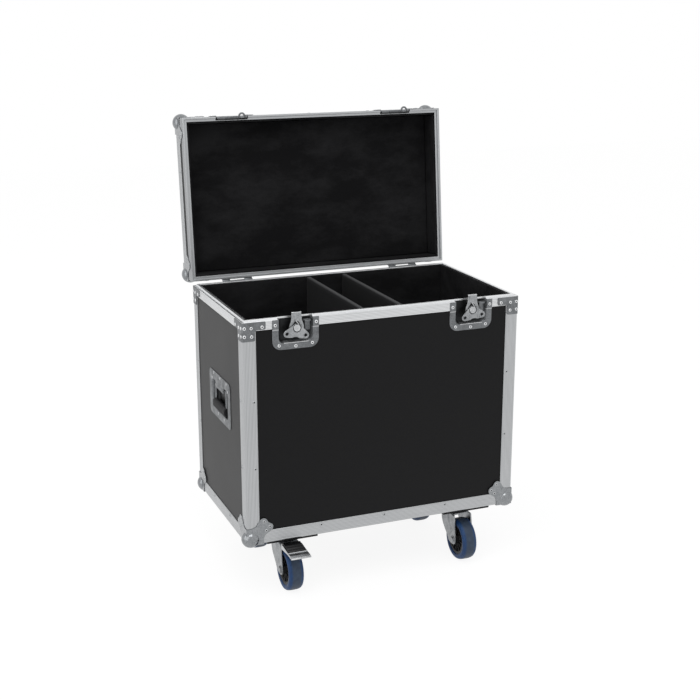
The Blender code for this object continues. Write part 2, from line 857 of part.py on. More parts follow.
def build_grips():
    for sx, name in ((1, "left"), (-1, "right")):
        middle = -half_x + hold_inset
        centre = closing - hold_centre_drop
        section = rounded(middle - hold_depth / 2, middle + hold_depth / 2, centre - hold_height / 2,
                          centre + hold_height / 2, hold_round)
        hold = prism(section, grip_centre_y - hold_half, grip_centre_y + hold_half, "y")
        x = -half_x + bail_inset
        axis = closing - bail_drop
        near = grip_centre_y - bail_half
        far = grip_centre_y + bail_half
        left = arc(near + bail_bend, axis - bail_bend, bail_bend, 180, 90, arc_steps)
        right = arc(far - bail_bend, axis - bail_bend, bail_bend, 90, 0, arc_steps)
        path = [(x, near, centre)] + [(x, a, b) for a, b in left + right] + [(x, far, centre)]
        made = piece(f"handle_grip_{name}", mirrored(hold, sx), "grip_black",
                     pivot=(sx * x, grip_centre_y, axis), smooth=False)
        join(made, mirrored(bent_rod(path, bail_radius), sx))


def leaf(sign, arms):
    """A hinge leaf under the axis (sign -1) or over it, with the arms that carry its knuckles."""
    near = axis_y - hinge_back + seat
    plate = box(-leaf_half, leaf_half, near, near + leaf_thickness,
                *sorted((axis_z + sign * leaf_start, axis_z + sign * leaf_reach)))
    outline = ((near, axis_z + sign * arm_start), (near + leaf_thickness, axis_z + sign * arm_start),
               (axis_y, axis_z + sign * arm_width), (axis_y, axis_z),
               (near + leaf_thickness / 2, axis_z + sign * arm_end))
    return plate, together(prism(outline, low, high, "x") for low, high in arms)


def build_hinges():
    knuckle = ((-leaf_half, -knuckle_half - gap), (knuckle_half + gap, leaf_half))
    for side, name in ((-1, "left"), (1, "right")):
        middle = side * hinge_spread
        plate, arm = leaf(-1, ((-knuckle_half, knuckle_half),))
        lower = piece(f"hinge_lower_{name}", moved(plate, middle), "fitting_steel")
        join(lower, moved(arm, middle))
        join(lower, rod((middle - knuckle_half, axis_y, axis_z), middle + knuckle_half, knuckle_radius, "x"))
        join(lower, rod((middle - pin_half, axis_y, axis_z), middle + pin_half, pin_radius, "x"))
        plate, arm = leaf(1, knuckle)
        upper = lid_piece(f"hinge_upper_{name}", moved(plate, middle), "fitting_steel")
        join(upper, moved(arm, middle))
        tubes = [rod((middle + low, axis_y, axis_z), middle + high, knuckle_radius, "x")
                 for low, high in knuckle]
        join(upper, together(tubes))
        bore = rod((middle - leaf_half - beyond, axis_y, axis_z), middle + leaf_half + beyond,
                   pin_radius + gap, "x")
        cut(upper, bore)


def castor_places():
    for name, sx, sy in corners():
        yield name, -sx * castor_spread_x, -sy * castor_spread_y


def build_castor_plate(name, x, y):
    top = castor_height - seat
    under = top - mount_thickness
    outline = rounded(x - mount_half_x, x + mount_half_x, y - mount_half_y, y + mount_half_y, mount_round)
    plate = piece(f"castor_plate_{name}", prism(outline, under, top, "z"), "zinc_fork")
    holes = [prism(circle(x + i * mount_hole_x, y + j * mount_hole_y, mount_hole_radius, small_steps),
                   under - beyond, top + beyond, "z") for i in (-1, 1) for j in (-1, 1)]
    cut(plate, together(holes))
    race = under - race_height
    crown = crown_level() - crown_thickness
    profile = ((0, crown - gap - nut_height), (nut_radius, crown - gap - nut_height),
               (nut_radius, crown - gap), (kingpin_radius, crown - gap), (kingpin_radius, race),
               (race_radius, race), (race_radius, under + sink), (0, under + sink))
    join(plate, lathe(profile, (x, y, 0), "z", race_steps))


def crown_level():
    """The top of the fork's crown."""
    return castor_height - seat - mount_thickness - race_height - gap - head_height


def build_fork(name, x, y):
    top = crown_level()
    axle = (y - castor_offset, wheel_radius)
    front = [(y - crown_front, top), (y + leg_waist[0], wheel_radius + leg_waist[1])]
    lower = [(y + a, wheel_radius + b) for a, b in leg_outline]
    outline = front + lower + [(y + crown_back, top)]
    out = leg_inner + leg_thickness
    fork = piece(f"castor_fork_{name}", prism(outline, x - out, x + out, "x"), "zinc_fork",
                 pivot=(x, y, castor_height))
    reach = max(abs(a) for a, b in leg_outline) + beyond
    cut(fork, box(x - leg_inner, x + leg_inner, y - reach, y + reach, -beyond, top - crown_thickness))
    notch = y - crown_front + crown_set_back
    cut(fork, box(x - leg_inner, x + leg_inner, y - reach, notch, -beyond, top + beyond))
    head = ((0, top - sink), (head_radius, top - sink), (head_radius, top + head_height),
            (0, top + head_height))
    join(fork, lathe(head, (x, y, 0), "z", race_steps))
    start = (x - out - axle_head, *axle)
    shaft = ((0, 0), (axle_head_radius, 0), (axle_head_radius, axle_head + sink),
             (axle_radius, axle_head + sink), (axle_radius, 2 * out + axle_head - sink),
             (axle_head_radius, 2 * out + axle_head - sink), (axle_head_radius, 2 * (out + axle_head)),
             (0, 2 * (out + axle_head)))
    join(fork, lathe(shaft, start, "x", small_steps))
    cut(fork, rod((x, y, top - crown_thickness - beyond), top + head_height + beyond,
                  kingpin_radius + kingpin_room, "z"))


def build_wheel(name, x, y):
    axle = (x, y - castor_offset, wheel_radius)
    bore = axle_radius + axle_room
    rim = [(wheel_radius - below, along) for below, along in rim_outline]
    half = [(bore, hub_outline[0][1])] + list(hub_outline) + rim
    core = half + [(radius, -along) for radius, along in reversed(half)]
    piece(f"wheel_core_{name}", lathe(core, axle, "x", core_steps), "wheel_core", pivot=axle, smooth=True)
    edge = wheel_radius / math.cos(math.pi / tyre_steps)
    half = [(wheel_radius - below, along) for below, along in tyre_outline] + [(edge, tread_half)]
    tyre = half + [(radius, -along) for radius, along in reversed(half)]
    piece(f"wheel_tyre_{name}", lathe(tyre, axle, "x", tyre_steps), "tyre_blue", pivot=axle, smooth=True)


def build_pedal(name, x, y):
    outline = [(y + a, castor_height - below) for a, below in pedal_outline]
    pedal = piece(f"brake_pedal_{name}", prism(outline, x - pedal_half, x + pedal_half, "x"), "zinc_fork",
                  pivot=(x, y + pedal_pivot[0], castor_height - pedal_pivot[1]))
    sides = [box(x + low, x + high, y + pedal_neck_end, y, 0, castor_height)
             for low, high in ((-pedal_half - beyond, -pedal_neck_half), (pedal_neck_half, pedal_half + beyond))]
    cut(pedal, together(sides))


def build_castors():
    for name, x, y in castor_places():
        build_castor_plate(name, x, y)
        build_fork(name, x, y)
        build_wheel(name, x, y)
        if name in ("front_left", "back_right"):
            build_pedal(name, x, y)


def build_everything():
    clear_scene()
    build_case_boards()
    build_case_edging()
    build_case_rim()
    build_braces()
    build_ball_corners()
    build_linings()
    build_lid_shell()
    build_lid_edging()
    build_lid_rim()
    build_lid_lining()
    build_latch_dishes()
    build_hooks()
    build_wings()
    build_handles()
    build_grips()
    build_hinges()
    build_castors()
    open_the_lid()


build_everything()
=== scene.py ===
import json
import math

import bmesh
import bpy
from mathutils import Matrix, Vector, noise


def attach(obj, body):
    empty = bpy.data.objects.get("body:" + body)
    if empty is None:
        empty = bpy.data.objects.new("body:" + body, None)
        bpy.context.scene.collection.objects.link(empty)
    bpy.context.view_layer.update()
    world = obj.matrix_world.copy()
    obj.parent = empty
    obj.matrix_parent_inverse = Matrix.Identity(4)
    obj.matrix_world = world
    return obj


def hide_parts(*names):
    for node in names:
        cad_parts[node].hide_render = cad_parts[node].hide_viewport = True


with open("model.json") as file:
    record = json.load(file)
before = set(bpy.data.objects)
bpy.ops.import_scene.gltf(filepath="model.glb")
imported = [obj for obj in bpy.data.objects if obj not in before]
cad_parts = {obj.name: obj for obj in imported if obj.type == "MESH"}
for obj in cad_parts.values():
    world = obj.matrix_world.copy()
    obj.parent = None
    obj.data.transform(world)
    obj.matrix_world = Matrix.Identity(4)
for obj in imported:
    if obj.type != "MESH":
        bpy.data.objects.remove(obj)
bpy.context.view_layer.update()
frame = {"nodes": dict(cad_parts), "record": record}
print("frame loaded")

# Sizes that many pieces share, in metres, as the solids have them
case = {
    "width": 0.661, "depth": 0.384, "bottom": 0.138, "closing": 0.648, "lidHeight": 0.070,
    "openAngle": 95.6, "flange": 0.030, "wall": 0.0015, "band": 0.020, "shiftY": -0.0393917,
    "hingeBack": 0.0071, "hingeDrop": 0.0008, "gap": 0.0003, "plateProud": 0.0015, "leafProud": 0.0018,
    "latchX": 0.2105, "hingeX": 0.218, "gripY": -0.0067, "castorTop": 0.128, "castorX": 0.219,
    "castorY": 0.124, "castorOffset": 0.033, "wheelRadius": 0.050, "sheet": 0.0012,
}
halfX = case["width"] / 2
halfY = case["depth"] / 2
closing = case["closing"]
lidTop = closing + case["lidHeight"]
hingeAxis = Vector((0, halfY + case["hingeBack"], closing - case["hingeDrop"]))
toFrame = Matrix.Translation((0, case["shiftY"], 0))
openLid = (toFrame @ Matrix.Translation(hingeAxis)
           @ Matrix.Rotation(-math.radians(case["openAngle"]), 4, "X") @ Matrix.Translation(-hingeAxis))
corners = {"front_left": (-1, -1), "front_right": (1, -1), "back_left": (-1, 1), "back_right": (1, 1)}


# Materials

def startMaterial(name, colour, roughness, metallic=0.0):
    material = bpy.data.materials.new(name)
    material.use_nodes = True
    shader = material.node_tree.nodes["Principled BSDF"]
    shader.inputs["Base Color"].default_value = (*colour, 1)
    shader.inputs["Roughness"].default_value = roughness
    shader.inputs["Metallic"].default_value = metallic
    return material, shader


def addNode(material, kind, **values):
    node = material.node_tree.nodes.new(kind)
    for key, value in values.items():
        if key in node.inputs:
            node.inputs[key].default_value = value
        else:
            setattr(node, key, value)
    return node


def wire(material, source, target):
    material.node_tree.links.new(source, target)


def placeOn(material, space="Object", scale=(1, 1, 1)):
    where = addNode(material, "ShaderNodeTexCoord")
    mapping = addNode(material, "ShaderNodeMapping", Scale=scale)
    wire(material, where.outputs[space], mapping.inputs["Vector"])
    return mapping.outputs["Vector"]


def noiseOn(material, vector, scale, detail=2.0, roughness=0.5):
    texture = addNode(material, "ShaderNodeTexNoise", Scale=scale, Detail=detail, Roughness=roughness)
    wire(material, vector, texture.inputs["Vector"])
    return texture.outputs["Fac"]


def rampOn(material, factor, stops):
    ramp = addNode(material, "ShaderNodeValToRGB")
    elements = ramp.color_ramp.elements
    while len(elements) < len(stops):
        elements.new(0.5)
    for element, (position, colour) in zip(elements, stops):
        element.position = position
        element.color = (*colour, 1) if hasattr(colour, "__len__") else (colour, colour, colour, 1)
    wire(material, factor, ramp.inputs["Fac"])
    return ramp.outputs["Color"]


def rangeOn(material, factor, low, high, fromLow=0.3, fromHigh=0.7):
    limits = {"From Min": fromLow, "From Max": fromHigh, "To Min": low, "To Max": high}
    spread = addNode(material, "ShaderNodeMapRange", **limits)
    wire(material, factor, spread.inputs["Value"])
    return spread.outputs["Result"]


def mixOn(material, factor, first, second, **values):
    # blends two colours; each part is a socket or a plain value
    mix = addNode(material, "ShaderNodeMix", data_type="RGBA", **values)
    for place, part in ((0, factor), (6, first), (7, second)):
        if isinstance(part, bpy.types.NodeSocket):
            wire(material, part, mix.inputs[place])
        else:
            mix.inputs[place].default_value = part
    return mix.outputs[2]


def attributeOn(material, name):
    return addNode(material, "ShaderNodeAttribute", attribute_name=name).outputs["Fac"]


def setGloss(shader, specular, sheen=(0.0, 0.5)):
    shader.inputs["Specular IOR Level"].default_value = specular
    shader.inputs["Sheen Weight"].default_value = sheen[0]
    shader.inputs["Sheen Roughness"].default_value = sheen[1]


def finishLook(material, shader, colour, roughness=None, heights=()):
    # wires the colour, the roughness and a chain of bumps to the shader
    wire(material, colour, shader.inputs["Base Color"])
    if roughness:
        wire(material, roughness, shader.inputs["Roughness"])
    previous = None
    for height, distance, strength in heights:
        bump = addNode(material, "ShaderNodeBump", Strength=strength, Distance=distance)
        wire(material, height, bump.inputs["Height"])
        if previous:
            wire(material, previous, bump.inputs["Normal"])
        previous = bump.outputs["Normal"]
    if previous:
        wire(material, previous, shader.inputs["Normal"])
    return material


def makeAluminium(name, colour, dull, first):
    look = {"rough": (0.30, 0.42), "groove": 0.62, "pitch": 0.0032, "drawn": (6, 900, 1), "cloud": 14.0,
            "streak": 0.00006}
    material, shader = startMaterial(name, colour, 0.4, 1.0)
    streaks = noiseOn(material, placeOn(material, "UV", look["drawn"]), 1.0, 3.0)
    cloudy = noiseOn(material, placeOn(material), look["cloud"])
    # painted shade: the grooves between the ribs are painted darker; the ribs start at a set distance across
    # the face
    turns = addNode(material, "ShaderNodeMath", operation="MULTIPLY_ADD")
    turns.inputs[1].default_value = 2 * math.pi / look["pitch"]
    turns.inputs[2].default_value = -2 * math.pi * first / look["pitch"]
    wire(material, attributeOn(material, "across"), turns.inputs[0])
    wave = addNode(material, "ShaderNodeMath", operation="COSINE")
    wire(material, turns.outputs[0], wave.inputs[0])
    metal = rampOn(material, streaks, ((0.3, dull), (0.7, colour)))
    grooveShading = rampOn(material, rangeOn(material, wave.outputs[0], 0.0, 1.0, -1.0, 1.0),
                     ((0.0, look["groove"]), (0.5, 1.0)))
    shade = mixOn(material, 1.0, metal, grooveShading, blend_type="MULTIPLY")
    return finishLook(material, shader, shade, rangeOn(material, cloudy, *look["rough"]),
                      [(streaks, look["streak"], 0.5)])


def makeSteel(name, colour, dull, rough, speckle, bump):
    # painted shade and painted highlight: one attribute darkens what lies deep in a recess, the other
    # brightens what gets a painted highlight
    look = {"cloud": 60.0, "recessShadeLevel": 0.22, "highlightTone": (0.70, 0.71, 0.72)}
    material, shader = startMaterial(name, colour, rough[0], 1.0)
    grain = addNode(material, "ShaderNodeTexVoronoi", Scale=speckle)
    wire(material, placeOn(material), grain.inputs["Vector"])
    cloudy = noiseOn(material, placeOn(material), look["cloud"], 3.0)
    mix = addNode(material, "ShaderNodeMix", data_type="FLOAT", Factor=0.5)
    wire(material, grain.outputs["Color"], mix.inputs["A"])
    wire(material, cloudy, mix.inputs["B"])
    speckledSteel = rampOn(material, mix.outputs["Result"], ((0.25, dull), (0.75, colour)))
    # painted shade: points deep in a recess are darkened
    shadedInRecess = mixOn(material, attributeOn(material, "recessShade"), speckledSteel,
                  (*(value * look["recessShadeLevel"] for value in dull), 1))
    # painted highlight where the attribute is set
    highlightTone = mixOn(material, attributeOn(material, "highlight"), shadedInRecess, (*look["highlightTone"], 1))
    return finishLook(material, shader, highlightTone, rangeOn(material, cloudy, rough[1], rough[0]),
                      [(grain.outputs["Distance"], bump, 0.35)])


def makeLaminate():
    look = {"colour": (0.0035, 0.0035, 0.0040), "fleck": (0.0070, 0.0070, 0.0078), "rough": (0.46, 0.49),
            "specular": 0.15, "sheen": (0.13, 0.4), "fine": 700.0, "broad": 9.0, "bump": 0.00012}
    material, shader = startMaterial("black laminate", look["colour"], 0.4)
    setGloss(shader, look["specular"], look["sheen"])
    fine = noiseOn(material, placeOn(material), look["fine"])
    broad = noiseOn(material, placeOn(material), look["broad"], 3.0)
    colour = rampOn(material, fine, ((0.45, look["colour"]), (0.70, look["fleck"])))
    return finishLook(material, shader, colour, rangeOn(material, broad, *look["rough"]),
                      [(fine, look["bump"], 0.35)])


def makeFoam():
    look = {"colour": (0.0045, 0.0045, 0.0050), "wearAndLight": (0.015, 0.015, 0.016), "specular": 0.15,
            "drawn": (0.7, 1.4, 1.4), "patch": 6.0, "pore": 700.0}
    material, shader = startMaterial("black foam", look["colour"], 0.95)
    setGloss(shader, look["specular"])
    patches = noiseOn(material, placeOn(material, "Object", look["drawn"]), look["patch"], 8.0, 0.72)
    pores = addNode(material, "ShaderNodeTexVoronoi", Scale=look["pore"])
    wire(material, placeOn(material), pores.inputs["Vector"])
    colour = rampOn(material, patches, ((0.43, look["colour"]), (0.62, look["wearAndLight"])))
    return finishLook(material, shader, colour, None,
                      [(pores.outputs["Distance"], 0.0004, 0.6), (patches, 0.002, 0.3)])


def makeFelt():
    # painted light: the rounded top edges, which carry the attribute, are painted lighter as if they caught
    # more light
    look = {"colour": (0.0030, 0.0030, 0.0035), "fibre": (0.007, 0.007, 0.008), "edge": (0.055, 0.056, 0.058),
            "specular": 0.15, "sheen": (0.04, 0.5), "drawn": (1, 1, 0.25), "fine": 900.0}
    material, shader = startMaterial("divider felt", look["colour"], 0.95)
    setGloss(shader, look["specular"], look["sheen"])
    fibres = noiseOn(material, placeOn(material, "Object", look["drawn"]), look["fine"], 3.0, 0.7)
    cloth = rampOn(material, fibres, ((0.35, look["colour"]), (0.75, look["fibre"])))
    wearAndLight = mixOn(material, attributeOn(material, "wearAndLight"), cloth, (*look["edge"], 1))
    return finishLook(material, shader, wearAndLight, None, [(fibres, 0.0005, 0.6)])


def makeRubber(name, colour, light, rough, scale, bump):
    material, shader = startMaterial(name, colour, rough)
    setGloss(shader, 0.28)
    grain = noiseOn(material, placeOn(material), scale, 3.0)
    speckled = rampOn(material, grain, ((0.4, colour), (0.7, light)))
    return finishLook(material, shader, speckled, rangeOn(material, grain, rough, rough + 0.1),
                      [(grain, bump, 0.4)])


def makeTyre():
    # the running face, marked by the tread attribute, is greyer and dustier than the sides
    look = {"side": (0.010, 0.050, 0.150), "sideDeep": (0.006, 0.032, 0.105), "tread": (0.040, 0.062, 0.098),
            "treadDeep": (0.026, 0.042, 0.074), "rough": (0.42, 0.58), "specular": 0.35, "cloud": 90.0,
            "fine": 500.0}
    material, shader = startMaterial("blue tyre", look["side"], 0.5)
    setGloss(shader, look["specular"])
    cloudy = noiseOn(material, placeOn(material), look["cloud"], 3.0)
    side = rampOn(material, cloudy, ((0.35, look["sideDeep"]), (0.65, look["side"])))
    face = rampOn(material, cloudy, ((0.35, look["treadDeep"]), (0.65, look["tread"])))
    colour = mixOn(material, attributeOn(material, "tread"), side, face)
    grain = noiseOn(material, placeOn(material), look["fine"])
    return finishLook(material, shader, colour, rangeOn(material, cloudy, *look["rough"]),
                      [(grain, 0.0001, 0.3)])


def makeRivetSteel(name, colour):
    # painted shade: the attribute marks the hole in a rivet's head, which is painted near black
    look = {"hole": (0.02, 0.02, 0.02), "rough": (0.22, 0.34), "cloud": 300.0}
    material, shader = startMaterial(name, colour, 0.28, 1.0)
    cloudy = noiseOn(material, placeOn(material), look["cloud"])
    holeShaded = rampOn(material, attributeOn(material, "pinHoleShade"), ((0.4, colour), (0.6, look["hole"])))
    return finishLook(material, shader, holeShaded, rangeOn(material, cloudy, *look["rough"]))


looks = {
    "rivet": makeRivetSteel("rivet zinc", (0.76, 0.77, 0.78)),
    "dull_rivet": makeRivetSteel("dull rivet", (0.44, 0.45, 0.46)),
    "edging": makeAluminium("ribbed aluminium", (0.55, 0.56, 0.57), (0.46, 0.47, 0.48), 0.0042),
    # the rims of case and lid are one aluminium in two copies, the case's lighter and the lid's darker:
    # painted light and painted shade
    "rim": makeAluminium("rim aluminium", (0.78, 0.79, 0.80), (0.66, 0.67, 0.68), 0.0025),
    "lid_rim": makeAluminium("lid rim aluminium", (0.46, 0.47, 0.48), (0.36, 0.37, 0.38), 0.0025),
    "hook_steel": makeSteel("hook steel", (0.44, 0.45, 0.46), (0.22, 0.23, 0.24), (0.28, 0.46), 800, 0.0002),
    "fitting_steel": makeSteel("dull zinc steel", (0.24, 0.25, 0.26), (0.12, 0.125, 0.13), (0.36, 0.52), 900,
                               0.0002),
    "corner_steel": makeSteel("polished corner steel", (0.32, 0.33, 0.34), (0.20, 0.21, 0.22), (0.12, 0.22),
                              500, 0.00008),
    "bright_steel": makeSteel("bright zinc steel", (0.56, 0.57, 0.58), (0.40, 0.41, 0.42), (0.18, 0.30), 300,
                              0.0001),
    "zinc_fork": makeSteel("pressed zinc steel", (0.36, 0.37, 0.38), (0.24, 0.25, 0.26), (0.30, 0.42), 500,
                           0.0001),
    "laminate": makeLaminate(),
    "foam": makeFoam(),
    "divider_fabric": makeFelt(),
    "grip_black": makeRubber("grip rubber", (0.010, 0.010, 0.011), (0.018, 0.018, 0.020), 0.5, 900.0, 0.0002),
    "wheel_core": makeRubber("wheel nylon", (0.006, 0.006, 0.007), (0.012, 0.012, 0.014), 0.4, 200.0, 0.0001),
    "tyre_blue": makeTyre(),
}
print("materials ready")


# Mesh helpers

def smoothByAngle(mesh, degrees=32, broad=0.004):
    # a broad flat face stays flat, so that the rounded edges round it don't bend its shading
    work = bmesh.new()
    work.from_mesh(mesh)
    for edge in work.edges:
        edge.smooth = len(edge.link_faces) == 2 and edge.calc_face_angle(0) < math.radians(degrees)
    for face in work.faces:
        face.smooth = face.calc_area() < broad * face.calc_perimeter()
    work.to_mesh(mesh)
    work.free()


def settle(thing):
    # applies the modifiers of an object
    bpy.context.view_layer.update()
    graph = bpy.context.evaluated_depsgraph_get()
    mesh = bpy.data.meshes.new_from_object(thing.evaluated_get(graph))
    for step in list(thing.modifiers):
        thing.modifiers.remove(step)
    thing.data = mesh


def placed(name, mesh):
    thing = bpy.data.objects.new(name, mesh)
    bpy.context.scene.collection.objects.link(thing)
    return thing


def objectFrom(name, work):
    mesh = bpy.data.meshes.new(name)
    work.to_mesh(mesh)
    work.free()
    return placed(name, mesh)


def meshThing(name, work, material=None, turn=None, degrees=32):
    bmesh.ops.recalc_face_normals(work, faces=work.faces)
    thing = objectFrom(name, work)
    if turn:
        thing.data.transform(turn)
    smoothByAngle(thing.data, degrees)
    if material:
        thing.data.materials.append(material)
    return thing


def formed(name, maker, *values):
    # one form as an object of its own, to be carved, bevelled or joined
    work = bmesh.new()
    maker(work, *values)
    return meshThing(name, work)


def bevelled(thing, width, segments=2, degrees=30):
    step = thing.modifiers.new("edges", "BEVEL")
    step.width = width
    step.segments = segments
    step.limit_method = "ANGLE"
    step.angle_limit = math.radians(degrees)
    step.use_clamp_overlap = True
    settle(thing)
    smoothByAngle(thing.data, 40)
    return thing


# Pieces that keep the shape of their CAD node, with slightly rounded edges

kept = {"edge": 0.0004, "segments": 2, "degrees": 25}
record = frame["record"]
slotOf = {row["node"]: row["material_slot"] for row in record["subparts"]}
bodyOf = {node: body for body, nodes in record["behaviour"]["bodies"].items() for node in nodes}
remade = ("case_edge_frame", "lid_edge_frame", "case_rim", "lid_rim", "case_corner", "lid_corner",
          "corner_brace", "latch_", "lid_latch_dish", "handle_", "castor_", "wheel_", "brake_pedal",
          "case_lining", "lid_lining", "divider_")


def dressNode(node):
    mesh = frame["nodes"][node].data.copy()
    work = bmesh.new()
    work.from_mesh(mesh)
    bmesh.ops.remove_doubles(work, verts=work.verts, dist=0.00001)
    bmesh.ops.dissolve_limit(work, angle_limit=math.radians(0.5), verts=work.verts, edges=work.edges)
    work.to_mesh(mesh)
    work.free()
    thing = placed(f"shown_{node}", mesh)
    bevelled(thing, kept["edge"], kept["segments"], kept["degrees"])
    smoothByAngle(thing.data)
    slotName = slotOf[node]
    thing.data.materials.clear()
    thing.data.materials.append(looks[slotName])
    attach(thing, bodyOf[node])
    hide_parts(node)


for node in slotOf:
    if not node.startswith(remade):
        dressNode(node)
print("nodes dressed")


# Geometry Nodes trees, each with named inputs

def startTree(name, inputs):
    tree = bpy.data.node_groups.new(name, "GeometryNodeTree")
    tree.interface.new_socket("Geometry", in_out="INPUT", socket_type="NodeSocketGeometry")
    for label, kind in inputs:
        tree.interface.new_socket(label, in_out="INPUT", socket_type=kind)
    tree.interface.new_socket("Geometry", in_out="OUTPUT", socket_type="NodeSocketGeometry")
    return tree, tree.nodes.new("NodeGroupInput"), tree.nodes.new("NodeGroupOutput")


def treeNode(tree, kind, links=(), **values):
    node = tree.nodes.new(kind)
    for key, value in values.items():
        if key in node.inputs:
            node.inputs[key].default_value = value
        else:
            setattr(node, key, value)
    for socket, source in dict(links).items():
        tree.links.new(source, node.inputs[socket])
    return node


def treeMath(tree, operation, first, second=None):
    node = tree.nodes.new("ShaderNodeMath")
    node.operation = operation
    for place, value in enumerate((first, second)):
        if value is None:
            continue
        if isinstance(value, (int, float)):
            node.inputs[place].default_value = value
        else:
            tree.links.new(value, node.inputs[place])
    return node.outputs[0]


def finishTree(tree, geometry, material, output):
    real = treeNode(tree, "GeometryNodeRealizeInstances", {"Geometry": geometry})
    dressed = treeNode(tree, "GeometryNodeSetMaterial", {"Geometry": real.outputs[0], "Material": material})
    tree.links.new(dressed.outputs[0], output.inputs[0])


def runTree(thing, tree, values):
    step = thing.modifiers.new(tree.name, "NODES")
    step.node_group = tree
    for item in tree.interface.items_tree:
        if item.in_out == "INPUT" and item.name in values:
            step[item.identifier] = values[item.name]
    settle(thing)


def makeRibTree():
    # pushes each point that carries a distance across the strip inwards, by a wave of grooves
    tree, given, output = startTree("ribs", (("Pitch", "NodeSocketFloat"), ("Depth", "NodeSocketFloat"),
                                             ("First", "NodeSocketFloat"), ("Last", "NodeSocketFloat"),
                                             ("Material", "NodeSocketMaterial")))
    across = treeNode(tree, "GeometryNodeInputNamedAttribute", Name="across").outputs["Attribute"]
    inward = treeNode(tree, "GeometryNodeInputNamedAttribute", data_type="FLOAT_VECTOR", Name="inward")
    turns = treeMath(tree, "DIVIDE", treeMath(tree, "SUBTRACT", across, given.outputs["First"]),
                     given.outputs["Pitch"])
    wave = treeMath(tree, "COSINE", treeMath(tree, "MULTIPLY", turns, 2 * math.pi))
    groove = treeMath(tree, "MULTIPLY", treeMath(tree, "SUBTRACT", 1, wave), 0.5)
    inside = treeMath(tree, "MULTIPLY", treeMath(tree, "GREATER_THAN", across, given.outputs["First"]),
                      treeMath(tree, "LESS_THAN", across, given.outputs["Last"]))
    push = treeMath(tree, "MULTIPLY", treeMath(tree, "MULTIPLY", groove, inside), given.outputs["Depth"])
    scaled = treeNode(tree, "ShaderNodeVectorMath", {"Vector": inward.outputs["Attribute"], "Scale": push},
                      operation="SCALE")
    ribbed = treeNode(tree, "GeometryNodeSetPosition",
                      {"Geometry": given.outputs["Geometry"], "Offset": scaled.outputs["Vector"]})
    finishTree(tree, ribbed.outputs[0], given.outputs["Material"], output)
    return tree


rivet = {"radius": 0.0038, "height": 0.0015, "sides": 14, "rings": 9, "sunk": 0.25, "hole": 0.3, "seed": 7,
         "sizes": (0.96, 1.04),
         "outwards": ((0.0, 0.0), (0.125, 0.25), (0.25, 0.40), (0.375, 0.48), (0.5, 0.68), (0.625, 0.86),
                      (0.75, 0.97), (0.875, 1.0), (1.0, 0.0)),
         "lift": ((0.0, 0.30), (0.125, 0.30), (0.25, 0.34), (0.375, 1.0), (0.5, 0.95), (0.625, 0.80),
                  (0.75, 0.50), (0.875, 0.0), (1.0, 0.0))}


def makeRivetTree():
    # a domed rivet head at each point, facing along that point's own direction, with its pin hole marked for
    # painted shade
    tree, given, output = startTree("rivets", (("Radius", "NodeSocketFloat"), ("Height", "NodeSocketFloat"),
                                               ("Sides", "NodeSocketInt"), ("Rings", "NodeSocketInt"),
                                               ("Material", "NodeSocketMaterial")))
    sheetOf = treeNode(tree, "GeometryNodeMeshGrid",
                       {"Vertices X": treeMath(tree, "ADD", given.outputs["Sides"], 1),
                        "Vertices Y": given.outputs["Rings"]}, **{"Size X": 1.0, "Size Y": 1.0})
    place = treeNode(tree, "GeometryNodeInputPosition")
    split = treeNode(tree, "ShaderNodeSeparateXYZ", {"Vector": place.outputs[0]})
    angle = treeMath(tree, "MULTIPLY", treeMath(tree, "ADD", split.outputs["X"], 0.5), 2 * math.pi)
    share = treeMath(tree, "ADD", split.outputs["Y"], 0.5)
    outwards, lift = tree.nodes.new("ShaderNodeFloatCurve"), tree.nodes.new("ShaderNodeFloatCurve")
    for curve, stops in ((outwards, rivet["outwards"]), (lift, rivet["lift"])):
        points = curve.mapping.curves[0].points
        points[0].location, points[1].location = stops[0], stops[-1]
        for stop in stops[1:-1]:
            points.new(*stop)
        curve.mapping.update()
        tree.links.new(share, curve.inputs["Value"])
    reach = treeMath(tree, "MULTIPLY", outwards.outputs[0], given.outputs["Radius"])
    height = treeMath(tree, "MULTIPLY", treeMath(tree, "SUBTRACT", lift.outputs[0], rivet["sunk"]),
                      given.outputs["Height"])
    where = treeNode(tree, "ShaderNodeCombineXYZ",
                     {"X": treeMath(tree, "MULTIPLY", reach, treeMath(tree, "COSINE", angle)),
                      "Y": treeMath(tree, "MULTIPLY", reach, treeMath(tree, "SINE", angle)), "Z": height})
    # painted shade: the middle of the head is marked to be painted dark
    inHole = treeMath(tree, "LESS_THAN", share, rivet["hole"])
    dark = treeNode(tree, "GeometryNodeStoreNamedAttribute",
                    {"Geometry": sheetOf.outputs["Mesh"], "Value": inHole}, Name="pinHoleShade")
    head = treeNode(tree, "GeometryNodeSetPosition",
                    {"Geometry": dark.outputs[0], "Position": where.outputs[0]})
    closed = treeNode(tree, "GeometryNodeMergeByDistance", {"Geometry": head.outputs[0]}, Distance=0.00001)
    smooth = treeNode(tree, "GeometryNodeSetShadeSmooth", {"Geometry": closed.outputs[0]})
    facing = treeNode(tree, "GeometryNodeInputNamedAttribute", data_type="FLOAT_VECTOR", Name="facing")
    aim = treeNode(tree, "FunctionNodeAlignRotationToVector", {"Vector": facing.outputs["Attribute"]},
                   axis="Z")
    spread = treeNode(tree, "FunctionNodeRandomValue", Seed=rivet["seed"])
    spread.inputs[2].default_value, spread.inputs[3].default_value = rivet["sizes"]
    heads = treeNode(tree, "GeometryNodeInstanceOnPoints",
                     {"Points": given.outputs["Geometry"], "Instance": smooth.outputs[0],
                      "Rotation": aim.outputs[0], "Scale": spread.outputs[1]})
    finishTree(tree, heads.outputs[0], given.outputs["Material"], output)
    return tree


ribTree, rivetTree = makeRibTree(), makeRivetTree()
print("node trees ready")


# Edging: ribbed angle extrusions, mitred where they meet

